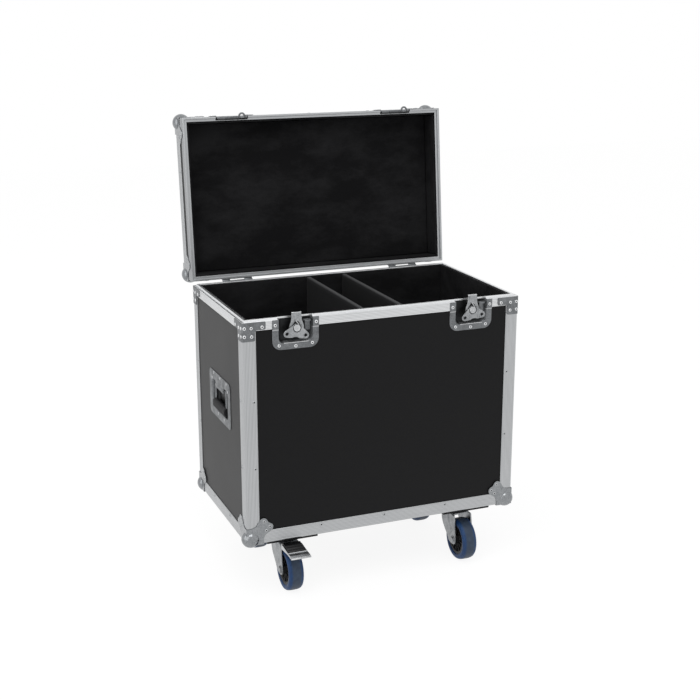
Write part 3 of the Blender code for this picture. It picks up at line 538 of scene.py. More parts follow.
edging = {"pitch": 0.0032, "depth": 0.00030, "first": 0.0042, "last": 0.0266, "steps": 6,
          "round": 0.003, "lip": 0.0004, "mitreGap": 0.00012}


def ribbedLine(first, last, end):
    # distances across a face, close together where the grooves run
    count = max(1, round((last - first) / edging["pitch"] * edging["steps"]))
    return [first + (last - first) * i / count for i in range(count + 1)] + [end - edging["lip"]]


def quarter(radius, steps):
    # a quarter circle from the first face to the second, as depths from the corner
    turns = [math.pi / 2 * i / steps for i in range(steps + 1)]
    return [(radius - radius * math.sin(t), radius - radius * math.cos(t)) for t in turns]


def plain(points):
    # points of a profile that no rib moves
    return [(u, v, 0, (0, 0)) for u, v in points]


def angleProfile():
    # each point as its two depths from the corner, its distance across the face, and the way inwards
    line = ribbedLine(edging["first"], edging["last"], case["flange"])
    wall, flange, lip = case["wall"], case["flange"], edging["lip"]
    first = [(s, 0, s, (0, 1)) for s in reversed(line)]
    second = [(0, s, s, (1, 0)) for s in line]
    inside = plain([(lip, flange), (wall, flange), (wall, wall), (flange, wall), (flange, lip)])
    return first + plain(quarter(edging["round"], 6)) + second + inside


def addStrip(work, layers, rings, closed=False):
    # joins rings of (point, across, inward) into a tube, with the run along it in u and the way round it in v
    uvs, across, inward = layers
    made = []
    for ring in rings:
        row = []
        for point, distance, direction in ring:
            vert = work.verts.new(point)
            vert[across] = distance
            vert[inward] = direction
            row.append(vert)
        made.append(row)
    count = len(rings[0])
    run = 0.0
    for k in range(len(rings) if closed else len(rings) - 1):
        near, far = made[k], made[(k + 1) % len(rings)]
        step = (far[0].co - near[0].co).length
        around = 0.0
        for i in range(count):
            j = (i + 1) % count
            width = (near[i].co - near[j].co).length
            face = work.faces.new((near[i], near[j], far[j], far[i]))
            for loop, uv in zip(face.loops, ((run, around), (run, around + width),
                                             (run + step, around + width), (run + step, around))):
                loop[uvs].uv = uv
            around += width
        run += step
    if not closed:
        work.faces.new(made[0])
        work.faces.new(list(reversed(made[-1])))


def stripLayers(work):
    return (work.loops.layers.uv.new("run"), work.verts.layers.float.new("across"),
            work.verts.layers.float_vector.new("inward"))


def sweepAngle(work, layers, start, along, dirA, dirB, length, mitreEnd):
    # one bar of angle, mitred at its start and, if asked, at its end
    along, dirA, dirB, start = Vector(along), Vector(dirA), Vector(dirB), Vector(start)
    near, far = [], []
    for a, b, distance, (inA, inB) in angleProfile():
        reach = max(a, b) + edging["mitreGap"]
        side = start + dirA * a + dirB * b
        inwards = dirA * inA + dirB * inB
        near.append((side + along * reach, distance, inwards))
        far.append((side + along * (length - (reach if mitreEnd else 0)), distance, inwards))
    addStrip(work, layers, [near, far])


def enter(thing, body, nodes=()):
    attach(thing, body)
    if nodes:
        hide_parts(*nodes)


def ribbed(thing, pitch, depth, first, last):
    runTree(thing, ribTree, {"Pitch": pitch, "Depth": depth, "First": first, "Last": last,
                             "Material": thing.data.materials[0]})
    smoothByAngle(thing.data)


def makeEdging(name, body, node, base, rise, upright, turn):
    work = bmesh.new()
    layers = stripLayers(work)
    for sx, sy in corners.values():
        sweepAngle(work, layers, (sx * halfX, sy * halfY, base), (0, 0, rise), (-sx, 0, 0), (0, -sy, 0),
                   upright, False)
    for side in (-1, 1):
        sweepAngle(work, layers, (-halfX, side * halfY, base), (1, 0, 0), (0, 0, rise), (0, -side, 0),
                   case["width"], True)
        sweepAngle(work, layers, (side * halfX, -halfY, base), (0, 1, 0), (0, 0, rise), (-side, 0, 0),
                   case["depth"], True)
    thing = meshThing(name, work, looks["edging"])
    ribbed(thing, edging["pitch"], edging["depth"], edging["first"], edging["last"])
    thing.data.transform(turn)
    enter(thing, body, (node,))


makeEdging("case_edging", "case", "case_edge_frame", case["bottom"], 1,
           closing - case["band"] - case["gap"] - case["bottom"], toFrame)
makeEdging("lid_edging", "lid", "lid_edge_frame", lidTop, -1,
           case["lidHeight"] - case["band"] - case["gap"], openLid)
print("edging made")


# Rims: the tongue round the case and the rabbet round the lid

rims = {"ledge": 0.0052, "tongue": 0.0037, "legOuter": 0.0126, "legInner": 0.0111, "legDrop": 0.014,
        "round": 0.0009, "lidLip": 0.0049, "lidRabbet": 0.0042, "lidLegOuter": 0.0106, "lidLegInner": 0.0091,
        "lidFloor": 0.0057, "crease": 0.0005, "windowHalf": 0.0395, "slotHalf": 0.040, "slotNear": 0.0016,
        "slotFar": 0.0050, "slotDepth": 0.0018, "pitch": 0.0032, "first": 0.0025, "last": 0.0185,
        "past": 0.003, "clear": 0.001,
        "windows": {"case": (0.01095, -0.024, 0.010), "lid": (0.00895, -0.004, 0.024)}}


def bandLine(sign):
    # the outer face of a rim, from its free edge to the closing plane
    line = ribbedLine(rims["first"], rims["last"], case["band"])
    return [(0, sign * s, s, (1, 0)) for s in reversed(line)]


def rimArc():
    # the rounded edge between a rim's outer face and its top, as depths from both
    r = rims["round"]
    return [(r - r * math.cos(t), r - r * math.sin(t)) for t in (0, math.pi / 6, math.pi / 3, math.pi / 2)]


def caseRimProfile():
    ledge, tongue, outer, wall = rims["ledge"], rims["tongue"], rims["legOuter"], case["wall"]
    return bandLine(-1) + plain([(u, -v) for u, v in rimArc()] + [
        (ledge, 0), (ledge + 0.0008, tongue - 0.0006), (ledge + 0.0014, tongue), (outer - 0.0010, tongue),
        (outer - 0.0003, tongue - 0.0004), (outer, tongue - 0.0012), (outer, -rims["legDrop"]),
        (rims["legInner"], -rims["legDrop"]), (rims["legInner"], -wall), (wall, -wall), (wall, -case["band"]),
        (edging["lip"], -case["band"])])


def lidRimProfile():
    base, wall, lip, crease = case["gap"], case["wall"], rims["lidLip"], rims["crease"]
    rabbet, outer, inner = rims["lidRabbet"], rims["lidLegOuter"], rims["lidLegInner"]
    return bandLine(1) + plain([(u, base + v) for u, v in rimArc()] + [
        (lip - crease, base), (lip, base + crease), (lip, rabbet), (outer - crease, rabbet),
        (outer, rabbet + crease), (outer, rims["legDrop"]), (inner, rims["legDrop"]),
        (inner, rims["lidFloor"]), (wall, rims["lidFloor"]), (wall, case["band"]),
        (edging["lip"], case["band"])])


def rimStops(middle, half):
    # places along a side close to the openings, so that the cuts stay in small cells
    return [side * middle + way * (half + rims["clear"]) for side in (-1, 1) for way in (-1, 1)]


def rimRing(profile, sx, sy, x=None):
    # the profile at a mitred corner, or square across a side at x
    return [(Vector((sx * (halfX - u) if x is None else x, sy * (halfY - u), closing + v)), distance,
             Vector((-sx * inwards[0], -sy * inwards[0], 0))) for u, v, distance, inwards in profile]


def addBox(work, x0, x1, y0, y1, z0, z1):
    box = bmesh.ops.create_cube(work, size=1)["verts"]
    for vert in box:
        vert.co = Vector((x0 + (x1 - x0) * (vert.co.x + 0.5), y0 + (y1 - y0) * (vert.co.y + 0.5),
                          z0 + (z1 - z0) * (vert.co.z + 0.5)))
    return box


def carve(thing, cutter, operation="DIFFERENCE"):
    step = thing.modifiers.new("carve", "BOOLEAN")
    step.operation = operation
    step.solver = "EXACT"
    step.object = cutter
    settle(thing)
    bpy.data.objects.remove(cutter, do_unlink=True)


def makeRim(body, profile, turn):
    # only the case's rim has slots at the back, for the hinges
    slots = body == "case"
    look = looks["rim" if slots else "lid_rim"]
    depth, low, high = rims["windows"][body]
    past = rims["past"]
    work = bmesh.new()
    layers = stripLayers(work)
    front = rimStops(case["latchX"], rims["windowHalf"])
    back = [-x for x in rimStops(case["hingeX"], rims["slotHalf"])] if slots else ()
    rings = []
    for sx, sy, stops in ((-1, -1, front), (1, -1, ()), (1, 1, back), (-1, 1, ())):
        rings.append(rimRing(profile, sx, sy))
        rings += [rimRing(profile, 0, sy, x) for x in stops]
    addStrip(work, layers, rings, closed=True)
    thing = meshThing(f"{body}_rim_profile", work, look)
    ribbed(thing, rims["pitch"], edging["depth"], rims["first"], rims["last"])
    tools = bmesh.new()
    for side in (-1, 1):
        middle, half = side * case["latchX"], rims["windowHalf"]
        addBox(tools, middle - half, middle + half, -halfY - past, -halfY + depth, closing + low,
               closing + high)
        if slots:
            middle, half = side * case["hingeX"], rims["slotHalf"]
            addBox(tools, middle - half, middle + half, halfY - rims["slotFar"], halfY - rims["slotNear"],
                   closing - rims["slotDepth"], closing + past)
    carve(thing, meshThing("cutter", tools))
    thing.data.transform(turn)
    smoothByAngle(thing.data)
    enter(thing, body, (f"{body}_rim",))


makeRim("case", caseRimProfile(), toFrame)
makeRim("lid", lidRimProfile(), openLid)
print("rims made")


# Forms that several fittings share

def spot(axis, a, b, c):
    # a point from two values across an axis and one along it
    return Vector({"x": (c, a, b), "y": (a, c, b), "z": (a, b, c)}[axis])


def polar(reach, degrees):
    return reach * math.cos(math.radians(degrees)), reach * math.sin(math.radians(degrees))


def arcPoints(a, b, radius, start, end, steps):
    turns = [math.radians(start + (end - start) * i / steps) for i in range(steps + 1)]
    return [(a + radius * math.cos(t), b + radius * math.sin(t)) for t in turns]


def circle(a, b, radius, steps=32):
    return arcPoints(a, b, radius, 0, 360, steps)[:-1]


def roundedBox(a0, a1, b0, b1, radius, steps=8):
    return (arcPoints(a0 + radius, b0 + radius, radius, 180, 270, steps)
            + arcPoints(a1 - radius, b0 + radius, radius, 270, 360, steps)
            + arcPoints(a1 - radius, b1 - radius, radius, 0, 90, steps)
            + arcPoints(a0 + radius, b1 - radius, radius, 90, 180, steps))


def softened(points, radius, steps=4):
    # an outline with each corner replaced by a short curve
    line = []
    for i, point in enumerate(points):
        here = Vector(point)
        before, after = Vector(points[i - 1]) - here, Vector(points[(i + 1) % len(points)]) - here
        start = here + before.normalized() * min(radius, before.length * 0.45)
        end = here + after.normalized() * min(radius, after.length * 0.45)
        for k in range(steps + 1):
            t = k / steps
            line.append(tuple(start * (1 - t) ** 2 + here * 2 * t * (1 - t) + end * t ** 2))
    return line


def addRows(work, rows, capStart=True, capEnd=True, wrap=False, ring=True):
    # joins rows of points into a skin; a row of one point is a pole
    made = [[work.verts.new(point) for point in row] for row in rows]
    pairs = list(zip(made, made[1:])) + ([(made[-1], made[0])] if wrap else [])
    faces = []
    for near, far in pairs:
        count = max(len(near), len(far))
        for i in range(count if ring else count - 1):
            j = (i + 1) % count
            loop = [near[i % len(near)], near[j % len(near)], far[j % len(far)], far[i % len(far)]]
            faces.append(work.faces.new(list(dict.fromkeys(loop))))
    if capStart and len(made[0]) > 2:
        faces.append(work.faces.new(list(reversed(made[0]))))
    if capEnd and len(made[-1]) > 2:
        faces.append(work.faces.new(made[-1]))
    return faces


def addPrism(work, outline, low, high, axis):
    addRows(work, [[spot(axis, a, b, level) for a, b in outline] for level in (low, high)])


def addTurned(work, profile, centre, axis, steps, phase=0.5):
    # a profile of (radius, distance along the axis) turned about an axis; one that starts off the axis is
    # a closed ring
    rows = []
    for radius, along in profile:
        turns = [2 * math.pi * (i + phase) / steps for i in range(steps if radius else 1)]
        rows.append([Vector(centre) + spot(axis, radius * math.cos(t), radius * math.sin(t), along)
                     for t in turns])
    addRows(work, rows, False, False, wrap=profile[0][0] != 0)


def addTube(work, path, radius, steps=12, flat=1.0):
    # a round bar along a path, pressed flat along x where flat is under 1
    path = [Vector(point) for point in path]
    squeeze = Vector((1, 0, 0))
    side = None
    rows = []
    for i, point in enumerate(path):
        run = (path[min(i + 1, len(path) - 1)] - path[max(i - 1, 0)]).normalized()
        if side is None:
            side = run.orthogonal()
        side = (side - run * side.dot(run)).normalized()
        other = run.cross(side)
        row = []
        for k in range(steps):
            t = 2 * math.pi * k / steps
            reach = (side * math.cos(t) + other * math.sin(t)) * radius
            row.append(point + reach - squeeze * squeeze.dot(reach) * (1 - flat))
        rows.append(row)
    addRows(work, rows)


def hullOf(points):
    # the outline stretched round a set of points
    ordered = sorted(set(points))
    ends = []
    for run in (ordered, ordered[::-1]):
        side = []
        for point in run:
            while len(side) > 1 and ((side[-1][0] - side[-2][0]) * (point[1] - side[-2][1])
                                     - (side[-1][1] - side[-2][1]) * (point[0] - side[-2][0])) <= 0:
                side.pop()
            side.append(point)
        ends += side[:-1]
    return ends


def markRecessShade(thing, near, far, axis):
    # marks how deep each point lies, so that a recess is painted darker than the flange round it: painted
    # shade
    depth = thing.data.attributes.new("recessShade", "FLOAT", "POINT")
    for vert in thing.data.vertices:
        share = (vert.co[axis] - near) / (far - near)
        depth.data[vert.index].value = min(1.0, max(0.0, share))


def highlighted(thing):
    # marks a whole piece for a painted highlight
    marks = thing.data.attributes.new("highlight", "FLOAT", "POINT")
    marks.data.foreach_set("value", [1.0] * len(thing.data.vertices))


def pressed(rows, axis, ring=True):
    # a dish of sheet metal from rows of points, outermost first, whose floor looks out along minus the axis
    work = bmesh.new()
    faces = addRows(work, rows, False, True, ring=ring)
    work.normal_update()
    if faces[-1].normal[axis] > 0:
        bmesh.ops.reverse_faces(work, faces=work.faces)
    thing = objectFrom("dish", work)
    step = thing.modifiers.new("sheet", "SOLIDIFY")
    step.thickness = case["sheet"]
    step.offset = -1
    step.use_even_offset = True
    settle(thing)
    return thing


def pierce(plate, outlines, front):
    # cuts outlines right through a sheet that stands across y
    tools = bmesh.new()
    for outline in outlines:
        addPrism(tools, outline, front - 0.003, front + 0.004, "y")
    carve(plate, meshThing("cutter", tools))


def joined(name, things, degrees=40):
    # several forms as one object
    work = bmesh.new()
    for thing in things:
        work.from_mesh(thing.data)
        bpy.data.objects.remove(thing, do_unlink=True)
    thing = objectFrom(name, work)
    smoothByAngle(thing.data, degrees)
    return thing


def dressed(thing, look, node, turn):
    # puts a finished piece in its material and in the place of its CAD node
    thing.data.materials.clear()
    thing.data.materials.append(looks[look])
    thing.data.transform(turn)
    enter(thing, bodyOf[node], (node,))


def added(thing, look, body, turn):
    # puts a piece that has no CAD node of its own on the body it belongs to
    thing.data.materials.append(looks[look])
    thing.data.transform(turn)
    enter(thing, body)


def mirrorMesh(thing, sx=1, sy=1):
    # a mirrored mesh has its faces turned back outwards
    thing.data.transform(Matrix.Diagonal((sx, sy, 1, 1)))
    if sx * sy < 0:
        thing.data.flip_normals()


# Ball corners and the braces at the top of the case

ballCorner = {"radius": 0.0206, "inset": 0.0115, "seat": 0.0003, "foot": 0.039, "footRound": 0.010,
              "around": 48, "rings": 24, "crease": 0.0007, "tuck": 0.0002, "soft": 0.0045, "back": 0.001,
              "room": 0.070,
              "clover": ((0.0390, 0.0120), (0.0420, 0.0210), (0.0520, 0.0270), (0.0590, 0.0315),
                         (0.0615, 0.0380), (0.0595, 0.0445), (0.0540, 0.0480), (0.0500, 0.0500))}
brace = {"arm": 0.052, "depth": 0.0183, "upright": 0.028, "height": 0.042, "drop": 0.0004, "bend": 0.0045,
         "round": 0.004, "throat": 0.003, "past": 0.004, "crease": 0.0003}


def makeBallCorner(node, level, sign, sx, sy, turn):
    b = ballCorner
    outer, tuck, back, far = b["seat"] + case["sheet"], b["tuck"], b["back"], b["room"]
    half = [(b["clover"][0][0], -outer + tuck)] + list(b["clover"])
    outline = [(-outer + tuck, -outer + tuck)] + half + [(s, a) for a, s in reversed(half[:-1])]
    curve = [outline[0], outline[1]] + softened(outline[1:], b["soft"], 5)[6:-6] + [outline[-1]]
    front = formed("front", addPrism, [(-halfX + a, level + sign * s) for a, s in curve], -halfY - outer,
                   -halfY + back, "y")
    side = formed("side", addPrism, [(-halfY + a, level + sign * s) for a, s in curve], -halfX - outer,
                  -halfX + back, "x")
    nearX, nearY = -halfX - outer + tuck, -halfY - outer + tuck
    footX, footY = -halfX + b["foot"], -halfY + b["foot"]
    foot = arcPoints(footX - b["footRound"], footY - b["footRound"], b["footRound"], 0, 90, 8)
    base = formed("base", addPrism, [(nearX, nearY), (footX, nearY)] + foot + [(nearX, footY)],
                  *sorted((level - sign * outer, level + sign * back)), "z")
    turns = [math.pi * i / b["rings"] for i in range(1, b["rings"])]
    profile = ([(0, -b["radius"])] + [(b["radius"] * math.sin(t), -b["radius"] * math.cos(t)) for t in turns]
               + [(0, b["radius"])])
    middle = (-halfX + b["inset"], -halfY + b["inset"], level + sign * b["inset"])
    thing = formed(f"shown_{node}", addTurned, profile, middle, "z", b["around"])
    for plate in (front, side, base):
        carve(thing, plate, "UNION")
    carve(thing, formed("room", addBox, -halfX - b["seat"], -halfX + far, -halfY - b["seat"], -halfY + far,
                        *sorted((level - sign * b["seat"], level + sign * far))))
    bevelled(thing, b["crease"], 2, 25)
    mirrorMesh(thing, -sx, -sy)
    dressed(thing, "corner_steel", node, turn)


def makeBrace(name, sx, sy):
    # a bent angle, cut to the outline that both of its faces share
    b, sheet = brace, case["sheet"]
    inner, bend, arm, r, tip = ballCorner["seat"], b["bend"], b["arm"], b["round"], b["round"] * 0.6
    outer = inner + sheet
    plan = (arcPoints(-outer + bend, -outer + bend, bend, 270, 180, 6) + [(-outer, arm), (-inner, arm)]
            + arcPoints(-inner + bend - sheet, -inner + bend - sheet, bend - sheet, 180, 270, 6)
            + [(arm, -inner), (arm, -outer)])
    thing = formed(f"shown_corner_brace_{name}", addPrism, [(-halfX + a, -halfY + s) for a, s in plan],
                   closing - b["height"], closing - b["drop"], "z")
    outline = ([(-b["past"], -b["drop"]), (-b["past"], -b["height"])]
               + arcPoints(b["upright"] - r, -b["height"] + r, r, 270, 360, 5)
               + [(b["upright"], -b["depth"] - b["throat"]), (b["upright"] + b["throat"], -b["depth"])]
               + arcPoints(arm - r, -b["depth"] + r, r, 270, 360, 5)
               + arcPoints(arm - tip, -b["drop"] - tip, tip, 0, 90, 5))
    # the two halves reach unlike depths, so that no two of their faces lie in one plane
    shape = formed("front", addPrism, [(-halfX + a, closing + s) for a, s in outline], -halfY - 0.003,
                   -halfY + 0.0032, "y")
    side = formed("side", addPrism, [(-halfY + a, closing + s) for a, s in outline], -halfX - 0.0031,
                  -halfX + 0.0033, "x")
    carve(shape, side, "UNION")
    carve(thing, shape, "INTERSECT")
    bevelled(thing, b["crease"], 2, 40)
    mirrorMesh(thing, -sx, -sy)
    dressed(thing, "fitting_steel", f"corner_brace_{name}", toFrame)


for name, (sx, sy) in corners.items():
    makeBallCorner(f"case_corner_{name}", case["bottom"], 1, sx, sy, toFrame)
    makeBallCorner(f"lid_corner_{name}", lidTop, -1, sx, sy, openLid)
    makeBrace(name, sx, sy)
print("corners made")


# Latches: pressed dishes, butterfly wings on a bright hub, and hooks that reach over to the lid

latch = {"plateHalf": 0.053, "mouthHalf": 0.038, "slope": 0.004, "onBoard": 0.0003, "step": 0.0018,
         "stepHigh": 0.0203, "stepLow": 0.0243, "hubDrop": 0.020, "eyeAt": 0.026, "eyeRadius": 0.0085,
         "eyeHole": 0.0042, "eyeThick": 0.0028, "eyeReach": 0.0078, "eyeLevel": 0.0062, "eyeRoot": 0.0012,
         "legNear": 0.0225, "legFar": 0.0350, "legDepth": 0.0050, "legThick": 0.0014, "lipBead": 0.0008,
         "lipShort": 0.010, "lipProud": 0.0013, "fold": (0.0213, 0.0237), "foldDeep": 0.0010,
         "foldHighlight": 0.6,
         "boss": ((0, -0.0061), (0.0052, -0.0061), (0.0055, -0.0056), (0.0055, 0.0080), (0.0075, 0.0088),
                  (0.0078, 0.0100), (0, 0.0100)),
         "weld": ((0, -0.0008), (0.0010, -0.00075), (0.0019, -0.0003), (0.0021, 0.0004), (0, 0.0004))}
caseDish = {"rise": 0.068, "round": 0.020, "mouth": 0.053, "mouthRound": 0.012, "floor": 0.0096,
            "levels": (0.0003, 0.010, 0.0195, 0.0207, 0.0219, 0.0231, 0.0245, 0.033),
            "legEnd": 0.0300, "welds": (0.0085, 0.0200)}
lidDish = {"rise": 0.038, "round": 0.012, "mouth": 0.026, "mouthRound": 0.009, "floor": 0.0076,
           "levels": (0.0003, 0.004, 0.008), "legEnd": 0.0200, "welds": (0.0125,)}
keeper = {"half": 0.015, "near": 0.0009, "far": 0.0082, "high": 0.0034, "drop": 0.0080, "gap": 0.0003}
wing = {"stand": 0.0082, "hub": 0.010, "reach": 0.0257, "lobe": 0.0078, "hole": 0.0036, "spread": 56.0,
        "scallop": 0.015, "scallopReach": 0.0345, "tilt": {"left": -8.1, "right": 6.4}, "lip": 0.0010,
        "lipTurn": 105, "disc": 0.0080, "discFront": 0.0106, "bezel": 0.0100, "pin": 0.0011,
        "pinLine": ((-0.0035, 0.0170, 0.0004), (-0.0010, 0.0138, 0.0010), (0.0020, 0.0104, 0.0010),
                    (0.0028, 0.0075, 0.0002))}
hook = {"half": 0.0122, "footHalf": 0.0168, "top": 0.0147, "neck": -0.004, "shoulder": 0.016, "foot": 0.0340,
        "footCut": 0.0060, "taper": 0.0012, "soft": 0.005, "stand": 0.0058, "lip": 0.0035, "lipRoll": 0.0009,
        "slot": 0.0095, "slotTop": 0.0070, "rib": 0.0010}


def stepLift(height):
    # how far the flange stands off the board at a height from the closing plane, over the rim's band or below
    share = min(1, max(0, (latch["stepLow"] - abs(height)) / (latch["stepLow"] - latch["stepHigh"])))
    return latch["step"] * share * share * (3 - 2 * share)


def dishRow(dish, sign, half, rise, radius, depth, lift):
    # one line round the dish, from the closing plane down one side, along the foot and up the other
    levels = list(dish["levels"]) + [rise - radius]
    leg = [(-half, level) for level in levels[:-1]]
    low = [(-half + radius - radius * math.cos(t), rise - radius + radius * math.sin(t))
           for t in (math.pi / 2 * i / 10 for i in range(11))]
    middle = [(-half + radius + (half - radius) * i / 4, rise) for i in range(1, 5)]
    left = leg + low + middle
    line = left + [(-x, level) for x, level in reversed(left[:-1])]
    return [Vector((x, -halfY + depth - lift * stepLift(level), closing + sign * level)) for x, level in line]


def makeDishSkin(dish, sign):
    half, flat, floor, slope = latch["plateHalf"], latch["onBoard"], dish["floor"], latch["slope"]
    rows = [(half, dish["rise"], dish["round"], flat + 0.0004, 1),
            (half - 0.0004, dish["rise"] - 0.0004, dish["round"] - 0.0004, flat, 1)]
    # a low bead round the mouth, then the sloping wall and the floor
    for out, depth, lift in ((0.0034, flat, 1), (0.0022, flat - 0.0005, 1), (0.0010, flat - 0.0004, 1),
                             (0.0002, flat + 0.0009, 0.9), (-slope * 0.25, floor * 0.3, 0.5),
                             (-slope * 0.8, floor - 0.0016, 0), (-slope - 0.0004, floor - 0.0004, 0),
                             (-slope - 0.0020, floor, 0)):
        rows.append((latch["mouthHalf"] + out, dish["mouth"] + out, dish["mouthRound"] + min(out, 0),
                     depth, lift))
    return pressed([dishRow(dish, sign, *row) for row in rows], 1, False)


def makeEye(dish, sign):
    # the padlock tab, with the leg that carries it down the dish
    level, r, middle = closing + sign * latch["eyeLevel"], latch["eyeRadius"], latch["eyeAt"]
    thick, sheet, depth = latch["eyeThick"], latch["legThick"], -halfY + latch["legDepth"]
    front, back = -halfY - latch["eyeReach"], depth + latch["eyeRoot"]
    outline = [(middle + r, back), (middle - r, back)] + arcPoints(middle, front + r, r, 180, 360, 16)
    tab = formed("tab", addPrism, outline, level - thick / 2, level + thick / 2, "z")
    carve(tab, formed("hole", addPrism, circle(middle, front + r, latch["eyeHole"], 20), level - 0.005,
                      level + 0.005, "z"))
    bevelled(tab, 0.0005, 2, 40)
    near, far = latch["legNear"], latch["legFar"]
    low, high = sorted((level - sign * thick / 2, closing + sign * dish["legEnd"]))
    leg = bevelled(formed("leg", addBox, near, far, depth, depth + sheet, low, high), 0.0005)
    under = low if sign < 0 else high - sheet
    foot = bevelled(formed("foot", addBox, near, far, depth, -halfY + dish["floor"] + 0.0005, under,
                           under + sheet), 0.0004)
    work = bmesh.new()
    for down in dish["welds"]:
        addTurned(work, latch["weld"], ((near + far) / 2, depth, closing + sign * down), "y", 14)
    return [tab, leg, foot, meshThing("welds", work)]


def makeLatchDish(node, middle, dish, sign, turn):
    things = [makeDishSkin(dish, sign)] + makeEye(dish, sign)
    aside = Matrix.Translation((middle, 0, 0))
    if sign < 0:
        # the boss that the hub turns on, with its base ring, and a bead under the mouth that carries a
        # painted highlight
        boss = formed("boss", addTurned, latch["boss"], (0, -halfY, closing - latch["hubDrop"]), "y", 24)
        reach, level = latch["mouthHalf"] - latch["lipShort"], closing - dish["mouth"]
        line = [(way * reach, -halfY - latch["lipProud"], level) for way in (-1, 1)]
        edge = formed(node.replace("latch_dish", "latch_highlight_bead"), addTube, line, latch["lipBead"])
        highlighted(edge)
        added(edge, "bright_steel", "case", turn @ aside)
    else:
        # the keeper that the hook's lip pulls on
        top = closing + hook["top"] - keeper["drop"] - case["sheet"] - keeper["gap"]
        boss = formed("keeper", addBox, -keeper["half"], keeper["half"], -halfY + keeper["near"],
                      -halfY + keeper["far"], top - keeper["high"], top)
    things.append(bevelled(boss, 0.0004))
    thing = joined(f"shown_{node}", things)
    # painted shade: the dish is darkened towards its floor
    markRecessShade(thing, -halfY + 0.0040, -halfY + dish["floor"] - 0.0005, 1)
    marks = thing.data.attributes.new("highlight", "FLOAT", "POINT")
    low, high = latch["fold"]
    for vert in thing.data.vertices:
        # painted highlight along the fold where the flange steps down from the rim's band
        if low < abs(vert.co.z - closing) < high and vert.co.y < -halfY + latch["foldDeep"]:
            marks.data[vert.index].value = latch["foldHighlight"]
    thing.data.transform(aside)
    dressed(thing, "fitting_steel", node, turn)


def makeWing(name, side):
    w = wing
    front, hub = -halfY - w["stand"] - case["sheet"], closing - latch["hubDrop"]
    middle = side * case["latchX"]
    down = 270 + w["tilt"][name]
    lobes = [polar(w["reach"], down + turned) for turned in (-w["spread"], w["spread"])]
    points = circle(0, 0, w["hub"])
    for a, b in lobes:
        points += circle(a, b, w["lobe"])
    outline = hullOf([(round(a, 7), round(b, 7)) for a, b in points])
    plate = formed("plate", addPrism, [(a, hub + b) for a, b in outline], front, front + case["sheet"], "y")
    a, b = polar(w["scallopReach"], down)
    pierce(plate, [circle(a, hub + b, w["scallop"], 40), circle(0, hub, w["bezel"] - 0.0006)]
           + [circle(a, hub + b, w["hole"]) for a, b in lobes], front)
    bevelled(plate, 0.0003, 2, 40)
    things = [plate]
    for a, b in lobes:
        # the rolled lip round each lobe, and a raised ring round its hole
        out = math.degrees(math.atan2(b, a))
        rolled = [polar(w["lobe"] - w["lip"], out + t) for t in range(-w["lipTurn"], w["lipTurn"] + 1, 10)]
        things.append(formed("lip", addTube, [(a + da, front - 0.0001, hub + b + db) for da, db in rolled],
                             w["lip"], 10))
        ring = ((0.0001, 0.0004), (0.0001, -0.0004), (0.0005, -0.0007), (0.0010, -0.0004), (0.0012, 0.0004))
        things.append(formed("ring", addTurned, [(w["hole"] + wide, along) for wide, along in ring],
                             (a, front, hub + b), "y", 24))
    bezel = w["bezel"]
    things.append(formed("bezel", addTurned,
                         ((0, 0.0018), (bezel, 0.0018), (bezel, -0.0002), (bezel - 0.0003, -0.0005),
                          (bezel - 0.0006, -0.0002), (bezel - 0.0008, 0.0014), (0, 0.0014)),
                         (0, front, hub), "y", 32))
    thing = joined(f"shown_latch_wing_{name}", things)
    # painted shade on the back of the wing plate
    markRecessShade(thing, front + 0.0008, front + 0.0013, 1)
    thing.data.transform(Matrix.Translation((middle, 0, 0)))
    dressed(thing, "hook_steel", f"latch_wing_{name}", toFrame)
    # the bright disc, and the pin above the hub, which turns with it
    work = bmesh.new()
    reach, disc = w["discFront"] - w["stand"] - case["sheet"], w["disc"]
    addTurned(work, ((0, -reach - 0.0003), (0.0030, -reach - 0.0002), (0.0062, -reach),
                     (disc - 0.0005, -reach + 0.0005), (disc, -reach + 0.0012), (disc, 0.0006),
                     (0.0062, 0.0012), (0.0062, 0.0028), (0, 0.0028)), (middle, front, hub), "y", 40)
    addTube(work, [(middle + a, front - out, hub + b) for a, b, out in w["pinLine"]], w["pin"], 10)
    added(meshThing(f"latch_hub_{name}", work), "bright_steel", bodyOf[f"latch_wing_{name}"], toFrame)


